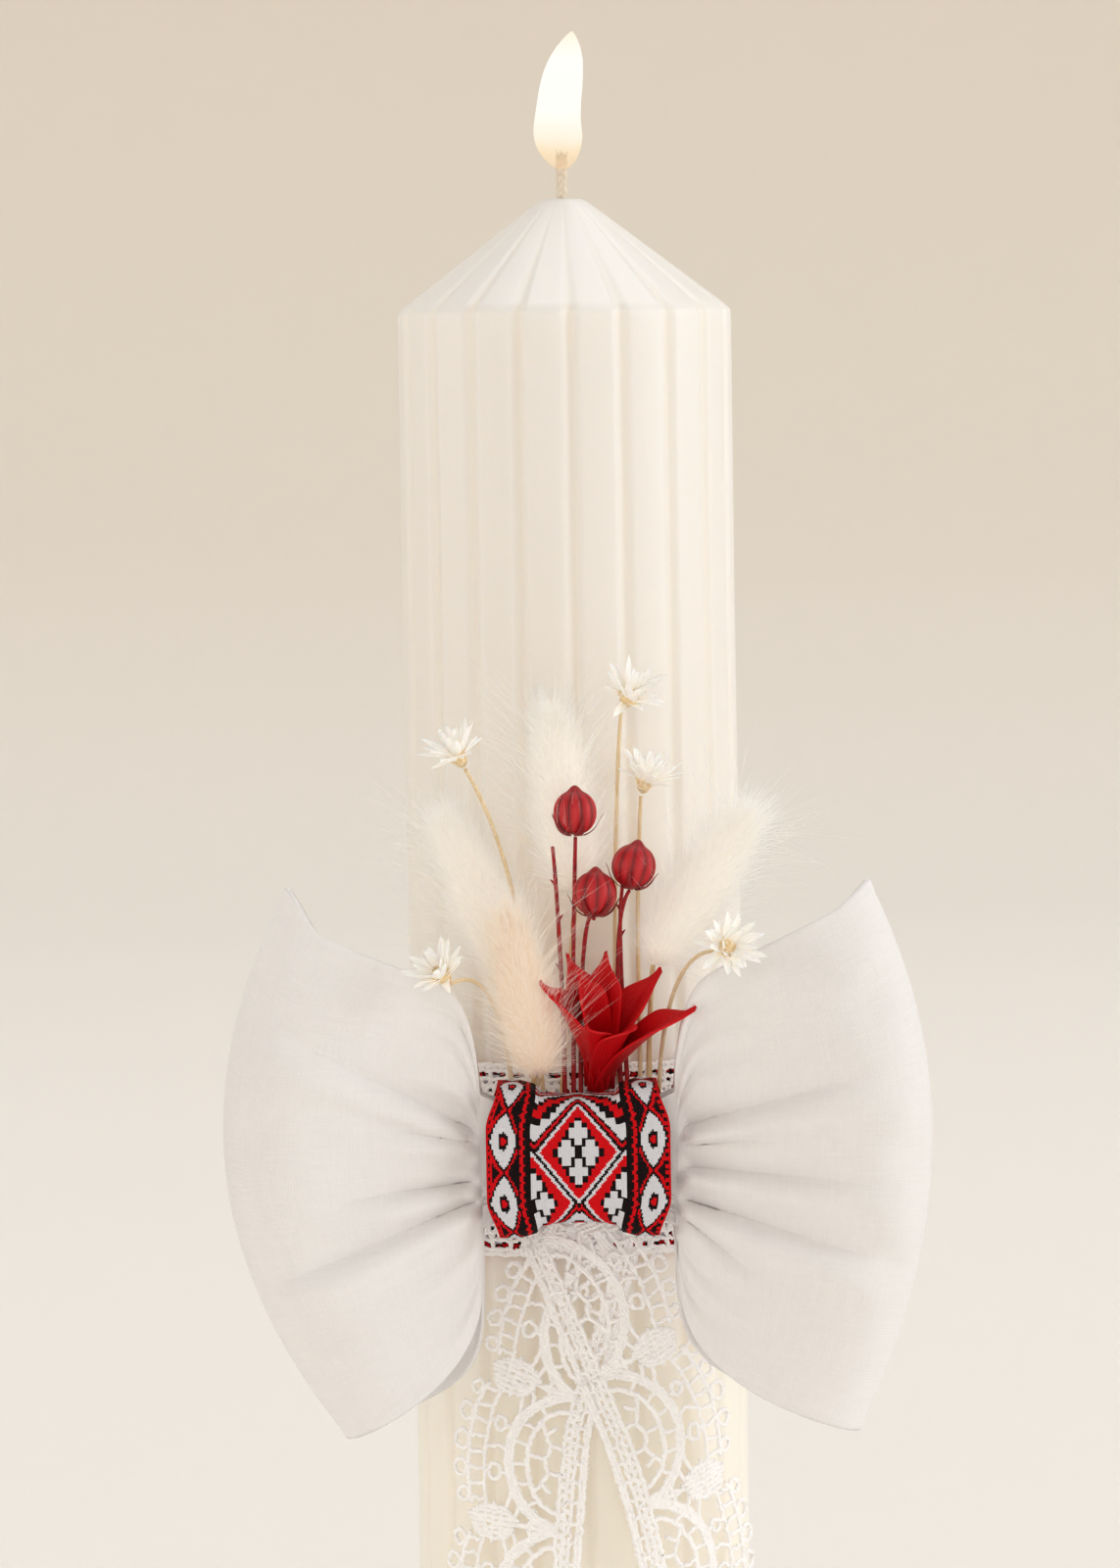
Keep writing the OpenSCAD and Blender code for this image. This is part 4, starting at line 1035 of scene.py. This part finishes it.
STRAW = make_stem_skin("straw", (236, 214, 172), (205, 172, 118))
PALE_STRAW = make_stem_skin("pale_straw", (240, 222, 186), (216, 188, 142))
RED_STEM = make_stem_skin("red_stem", (186, 22, 30), (122, 8, 18))


def make_stem(name, x, bend, end, d, taper, skin, slot, node, knobs=0):
    """A stem from its foot behind the knot to its end, with knobs on its upper half."""
    points = 40
    a, b, c = place([x, -STEM_SEAT - d / 2, STEM_LOW]), place(bend), place(end)
    t = np.linspace(0, 1, points)
    s = t[:, None]
    line = (1 - s) ** 2 * a + 2 * s * (1 - s) * b + s * s * c
    sway = 0.06 * np.stack([np.sin(9 * t + x), np.cos(7 * t + x), 0 * t], -1)
    line = line + sway * np.sin(np.pi * s)
    shape = Shape()
    shape.tube(line, d / 2 * lerp(1, taper, t) * (1 + 0.05 * np.sin(31 * t)), 10)
    for k in range(knobs):
        at = int(lerp(20, 36, (k + 0.5) / knobs))
        along = line[at + 1] - line[at]
        spur = unit(np.cross(along, [0, 1, 0])) * (-1) ** k
        shape.tube(np.linspace(line[at], line[at] + spur * 0.9 + unit(along) * 1.1, 5),
                   np.linspace(d * 0.42, 0.08, 5), 6)
    settle(build(name, shape, skin), "bow", slot, node)


def make_fluff(name, pale, warm, core):
    # The weak emission is painted light that lifts the shade deep among the hairs.
    fluff = Surface(name, Roughness=0.75, Specular_IOR_Level=0.1, Emission_Color=tint(255, 246, 236),
                    Emission_Strength=0.11)
    hair = fluff.ramp(fluff.attribute("tone"), (0.0, core), (0.3, warm), (0.7, pale))
    fluff.color(fluff.mix(fluff.span(fluff.noise(500.0), 0.0, 0.2), hair, warm))
    # A share of the light goes straight through, as between the fine hairs that one modelled hair stands for
    fluff.blend(fluff.shader.outputs[0], fluff.node("BsdfTransparent", {}), 0.35)
    return fluff.material


HEAD_L, HAIRS, LONG_HAIRS, BASE_HAIRS = 30.4, 4400, 420, 420
# Widths of a grass head at shares of its length
HEAD_SHARES = np.array([0, 0.08, 0.22, 0.42, 0.64, 0.82, 0.96, 1.0])
HEAD_WIDTHS = np.array([0.12, 0.36, 0.48, 0.5, 0.44, 0.32, 0.14, 0.02]) * 11


def rooted(share, depth):
    """Hair roots at random places round a head: their ways out, and their points."""
    radial = outward(random.uniform(0, 2 * np.pi, len(share)))
    radius = depth * np.interp(share, HEAD_SHARES, HEAD_WIDTHS)
    return radial, radial * radius[:, None] + UP * (share * HEAD_L)[:, None]


def make_grass():
    bright = make_fluff("bunny_tail", (255, 255, 254), (255, 254, 251), (254, 249, 238))
    # The first head's warm, peach colours near its roots are a painted reflection of the red flower beside
    # it.
    reflection_tinted = make_fluff("bunny_tail_front", (255, 252, 246), (252, 243, 229), (244, 222, 194))
    for k, (x, bend, low, way) in enumerate(GRASS):
        make_stem(f"grass_stalk_{k + 1}", x, bend, low, *GRASS_STEM, STRAW, "dry_stem", f"grass_stem_{k + 1}")
        turn = basis(way)
        start = place(low) + turn[:, 2] * GRASS_GAP
        shape = Shape()

        def hairs(roots, ways, lengths, radius, bends, rows=4):
            radius = np.broadcast_to(radius, len(roots))
            shape.strands(roots @ turn.T + start, unit(ways) @ turn.T, lengths, radius, bends @ turn.T, rows)

        t = np.linspace(0, 1, 24)
        profile = np.stack([0.8 * np.interp(t, HEAD_SHARES, HEAD_WIDTHS) + 0.05, t * HEAD_L], -1)
        shape.lathe(profile, 24, lambda p: p @ turn.T + start, 0.1)
        share = random.beta(1.15, 1.2, HAIRS) * 0.99
        radial, roots = rooted(share, 0.5)
        lean = random.normal(0.74, 0.2, HAIRS) * (1 - 0.35 * share)
        ways = radial * lean[:, None] + UP * (0.75 + 0.25 * share)[:, None]
        ways = ways + random.normal(0, 0.16, (HAIRS, 3))
        lengths = random.uniform(4.6, 10.4, HAIRS) * lerp(1.0, 0.8, share)
        bends = UP * 0.22 + radial * random.normal(-0.05, 0.12, HAIRS)[:, None]
        bends = bends + random.normal(0, 0.10, (HAIRS, 3))
        hairs(roots, ways, lengths, random.uniform(0.036, 0.06, HAIRS), bends)
        # A few long hairs all over the head
        radial, roots = rooted(random.uniform(0.05, 0.95, LONG_HAIRS), 0.45)
        ways = radial * random.uniform(0.5, 1.2, LONG_HAIRS)[:, None] + UP * 0.75
        bends = random.normal(0, 0.16, (LONG_HAIRS, 3))
        hairs(roots, ways, random.uniform(9, 23, LONG_HAIRS), 0.038, bends, 6)
        # Hairs that stand out at the base
        radial, roots = rooted(random.uniform(0.0, 0.12, BASE_HAIRS), 0.45)
        ways = radial + UP * random.uniform(-0.25, 0.6, BASE_HAIRS)[:, None]
        bends = UP * 0.3 + random.normal(0, 0.14, (BASE_HAIRS, 3))
        hairs(roots, ways, random.uniform(4.0, 8.5, BASE_HAIRS), 0.045, bends)
        head = build(f"grass_fluff_{k + 1}", shape, reflection_tinted if k == 0 else bright)
        settle(head, "bow", "grass_fluff", f"grass_head_{k + 1}")


# Each ring of petals is [number, lift in degrees, length, width, height]
PETAL_RINGS = ((12, 44, 7.0, 2.0, 2.0), (9, 64, 5.8, 1.8, 2.3), (7, 24, 5.4, 1.8, 1.7))
PETAL_T, SEPAL_T, SEPALS, FLORETS, FLORET_R = 0.07, 0.06, 10, 90, 0.16
CUP = [[0.3, 0.0], [0.6, 0.25], [1.0, 0.9], [1.35, 1.6], [1.5, 2.1], [1.2, 2.4], [0.4, 2.5]]
DOME = [[1.7, 2.1], [1.95, 2.5], [1.8, 3.0], [1.35, 3.4], [0.75, 3.62], [0.1, 3.7]]


def make_paper():
    # The weak emission is painted light that lifts the shade on the petals.
    paper = Surface("paper_petal", Roughness=0.6, Subsurface_Weight=0.2, Subsurface_Scale=0.002,
                    Emission_Color=tint(255, 250, 240), Emission_Strength=0.09)
    lines = paper.wave(paper.attribute("flat", "Vector"), 1.5, "Y", 1.0)
    body = paper.ramp(paper.attribute("tone"), (0.0, (240, 222, 186)), (0.22, (252, 248, 240)),
                      (0.8, (255, 254, 251)))
    paper.color(paper.mix(paper.span(lines, 0.0, 0.08), body, (224, 212, 194)))
    paper.bump(lines, 0.5, 0.1)
    return paper.material


def make_heart():
    heart = Surface("flower_heart", Roughness=0.8)
    spots = heart.cells(1400.0)
    heart.color(heart.ramp(spots, (0.1, (253, 244, 220)), (0.6, (240, 214, 166))))
    heart.bump(spots, 0.8, 0.25)
    return heart.material


def make_stars():
    paper, heart = make_paper(), make_heart()
    for k, (x, bend, back, way) in enumerate(STARS):
        make_stem(f"star_stalk_{k + 1}", x, bend, back, *STAR_STEM, PALE_STRAW, "dry_stem",
                  f"star_stem_{k + 1}")
        turn = basis(way)
        start = place(back) + turn[:, 2] * STAR_GAP

        def put(p):
            return p @ turn.T + start

        petals = Shape()
        spin0 = random.uniform(0, 2 * np.pi)
        t, w = leaf_grid(10, 5)
        for count, lift, long, wide, high in PETAL_RINGS:
            half = wide / 2 * np.sin(np.pi * np.clip(0.16 + 0.84 * t, 0, 1)) ** 0.7 * (1 - 0.25 * t) + 0.03
            for i in range(count):
                spin = spin0 + 2 * np.pi * (i + random.uniform(-0.25, 0.25)) / count
                rise = math.radians(lift + random.normal(0, 9))
                reach = long * random.uniform(0.85, 1.08)
                curl = random.normal(0.3, 0.35)
                twist = random.normal(0, 0.25)
                rim = (0.55 * w + twist * t) * half * w
                z = high + reach * (t * math.sin(rise) - 0.18 * curl * t * t) + rim
                local = np.stack([0.7 + reach * t * math.cos(rise), half * w, z], -1)
                flat = np.stack([reach * t, half * w, 0 * t], -1)
                petals.plate(put(spun(local, spin)), PETAL_T * turn[:, 2], t, flat)
        settle(build(f"star_petals_{k + 1}", petals, paper), "bow", "star_petals", f"star_flower_{k + 1}")
        core = Shape()
        core.lathe(CUP, 16, put)
        core.lathe(DOME, 20, put)
        out = outward(random.uniform(0, 2 * np.pi, FLORETS))
        far = np.sqrt(random.uniform(0, 1, FLORETS))[:, None] * 1.75
        roots = far * out + UP * (2.4 + 1.2 * (1 - (far / 2.1) ** 2))
        lengths = random.uniform(0.5, 0.85, FLORETS)
        ways = unit(0.3 * far * out + UP) @ turn.T
        core.strands(put(roots), ways, lengths, np.full(FLORETS, FLORET_R), 0 * roots, 3)
        t, w = leaf_grid(5, 3)
        sepal = np.stack([0.75 + 0.95 * t, (0.42 * (1 - t ** 2) + 0.04) * w, 0.5 + 1.7 * t], -1)
        for i in range(SEPALS):
            core.plate(put(spun(sepal, 2 * np.pi * i / SEPALS)), SEPAL_T * turn[:, 2])
        settle(build(f"star_heart_{k + 1}", core, heart), "bow", "star_petals")


# Each bract is [way out in degrees, reach, length]
BRACTS = ((185, 8.2, 24.1), (125, 7.4, 23.4), (140, 2.5, 23.8), (80, 6.7, 23.3),
          (35, 11, 20.1), (345, 15.4, 20.6), (250, 5, 18.6), (315, 7, 18.4))
BRACT_W, FLOWER_LEAN, FLOWER_AT = 6.9, math.radians(32), (4.0, -1.6, 12.9)
FLOWER_BASE = [[0.3, -1.6], [1.1, -1.2], [1.6, -0.2], [1.5, 0.8], [0.9, 1.4], [0.1, 1.6]]


def make_bract_skin():
    petal = Surface("red_bract", Roughness=0.48, Specular_IOR_Level=0.22)
    veins = petal.wave(petal.stretch(petal.attribute("flat", "Vector"), 0.08, 1.0, 1.0), 0.75, "Y", 1.5)
    # Painted shade: the red is darkest at the foot of the bracts, deep inside the flower, and lightens
    # towards their tips and rims.
    body = petal.ramp(petal.attribute("tone"), (0.0, (124, 2, 8)), (0.35, (196, 3, 14)), (0.8, (214, 5, 18)),
                      (1.0, (222, 34, 42)))
    mottle = petal.noise(420.0, detail=5.0)
    shade = petal.mix(petal.span(veins, 0.0, 0.3), body, (120, 2, 10))
    petal.color(petal.mix(petal.span(mottle, 0.0, 0.16), shade, (226, 16, 28)))
    petal.bump(petal.add(veins, mottle), 0.4, 0.2)
    return petal.material


def make_red_flower():
    shape = Shape()
    c, s = math.cos(FLOWER_LEAN), math.sin(FLOWER_LEAN)
    turn = np.array([[1, 0, 0], [0, c, -s], [0, s, c]])
    at = place(FLOWER_AT)
    t, w = leaf_grid(34, 21)
    for k, (way, reach, length) in enumerate(BRACTS):
        curl = random.normal(0, 0.12)

        def point(t, w):
            tip = smooth((t - 0.75) / 0.25)
            half = BRACT_W / 2 * lerp(0.74, 1.0, smooth(t / 0.75)) * lerp(1, 0.1, tip ** 1.1)
            fold = 0.85 - 0.4 * smooth((t - 0.6) / 0.4)
            out = 1.5 + reach * t ** 1.5 - fold * half * np.abs(w) ** 1.5
            lip = 0.35 * half * np.clip(np.abs(w) - 0.7, 0, 1) * smooth((t - 0.3) / 0.4)
            wavy = 0.25 * np.sin(9 * t + 2 * k) * w * smooth((t - 0.2) / 0.5)
            out = out + lip + wavy + 1.2 * smooth((t - 0.8) / 0.2) * (0.5 + curl)
            z = length * t - 1.4 - 0.9 * np.abs(w) * tip
            return spun(np.stack([out, half * w, z], -1), math.radians(way)) @ turn.T + at

        half_t = (0.42 - 0.2 * np.abs(w) ** 3) * (1 - 0.3 * t)
        rim = smooth((np.abs(w) - 0.86) / 0.12)
        # tone is lowest at the foot of each bract, where the colour holds painted shade, and highest at the
        # rims.
        tone = np.clip(0.15 + 0.6 * t, 0, 0.8) + 0.2 * rim * smooth(t / 0.3)
        flat = np.stack([length * t, BRACT_W / 2 * w, 0 * t], -1)
        shape.plate(point(t, w), normals(point, t, w, 0, 0.01) * half_t[..., None], tone, flat)
    shape.lathe(FLOWER_BASE, 20, lambda p: p + at)
    settle(build("red_bracts", shape, make_bract_skin()), "bow", "red_bract", "red_flower")


POD_R, POD_PEAK, POD_SEPALS = 3.85, 0.9, 5


def make_husk():
    husk = Surface("flax_husk", Roughness=0.5)
    mottle = husk.noise(700.0, detail=4.0)
    # Painted shade: the husk is darker in the furrows between its ribs; it is also darker towards both ends.
    body = husk.ramp(husk.attribute("tone"), (0.0, (96, 0, 6)), (0.35, (162, 3, 14)), (0.8, (188, 8, 20)),
                     (1.0, (206, 28, 38)))
    husk.color(husk.mix(husk.span(mottle, 0.0, 0.3), body, (140, 4, 14)))
    husk.bump(mottle, 0.5, 0.15)
    return husk.material


def make_pods():
    husk = make_husk()
    columns = 100
    up = np.linspace(0, np.pi, 40)[:, None]
    depth = np.sin(up) ** 0.8
    t, w = leaf_grid(8, 3)
    over = 0.25 + 1.24 * t
    sepal = np.stack([0.4 + 4.05 * np.sin(over) + 0.5 * smooth((t - 0.8) / 0.2),
                      (0.75 * (1 - t ** 1.6) + 0.03) * w, 3.9 - 4.15 * np.cos(over)], -1)
    for k, (x, bend, end, way) in enumerate(FLAX):
        node, knobs = (f"flax_stem_{k + 1}", 0) if way else (f"flax_twig_{k - 2}", 3)
        make_stem(f"flax_stalk_{k + 1}", x, bend, end, *FLAX_STEM, RED_STEM, "flax_red", node, knobs)
        if way is None:
            continue
        turn = basis(way)
        start = place(end) + turn[:, 2] * POD_GAP
        wave = np.abs(np.sin(5 * round_angles(columns) + k))[None] ** 0.7
        radius = POD_R * (1 - 0.09 * (1 - wave) * depth) * np.sin(up) ** 0.92 + 0.02
        z = POD_R - POD_R * np.cos(up) + POD_PEAK * smooth((up - 2.75) / 0.39)
        shape = Shape()
        # tone is low in the furrows, where the colour holds painted shade, and towards both ends.
        shape.skin(turned(radius, z, columns) @ turn.T + start, wave ** 1.5 * (0.35 + 0.6 * depth))
        for i in range(POD_SEPALS):
            leaf = spun(sepal, 2 * np.pi * i / POD_SEPALS + 0.4 * k)
            shape.plate(leaf @ turn.T + start, PETAL_T * turn[:, 2], 0.15)
        settle(build(f"flax_husk_{k + 1}", shape, husk), "bow", "flax_red", f"flax_pod_{k + 1}")


make_grass()
make_stars()
make_red_flower()
make_pods()


# Tape round the stems

TAPE_MIDDLE, TAPE_HALF, TAPE_HALF_W, TAPE_HALF_T = (2.0, -36.35, 177.0), (13.4, 1.25), 2.45, 0.17


def make_tape():
    tape = Surface("florist_tape", Roughness=0.7)
    crepe = tape.noise(1.0, tape.stretch(tape.place, 300, 300, 2400), detail=4.0)
    tape.color(tape.ramp(crepe, (0.3, (96, 112, 66)), (0.7, (142, 156, 104))))
    tape.bump(crepe, 0.7, 0.15)
    turn = round_angles(260)[:, None]
    up = np.linspace(-TAPE_HALF_W, TAPE_HALF_W, 11)

    def skin(off, folds):
        fold = off + 0.05 * np.sin(31 * turn + 2.1 * up) * folds
        x, y = (TAPE_HALF[0] + fold) * squared(np.cos(turn)), (TAPE_HALF[1] + fold) * squared(np.sin(turn))
        return np.stack([x, y, up + 0.06 * np.sin(17 * turn)], -1) + TAPE_MIDDLE

    shape = Shape()
    shape.band(skin(TAPE_HALF_T, 1), skin(-TAPE_HALF_T, 0.4))
    settle(build("tape_wrap", shape, tape.material), "bow", "tape", "stem_tape")


make_tape()
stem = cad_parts["flower_stem"]
stem.data.materials.clear()
stem.data.materials.append(RED_STEM)
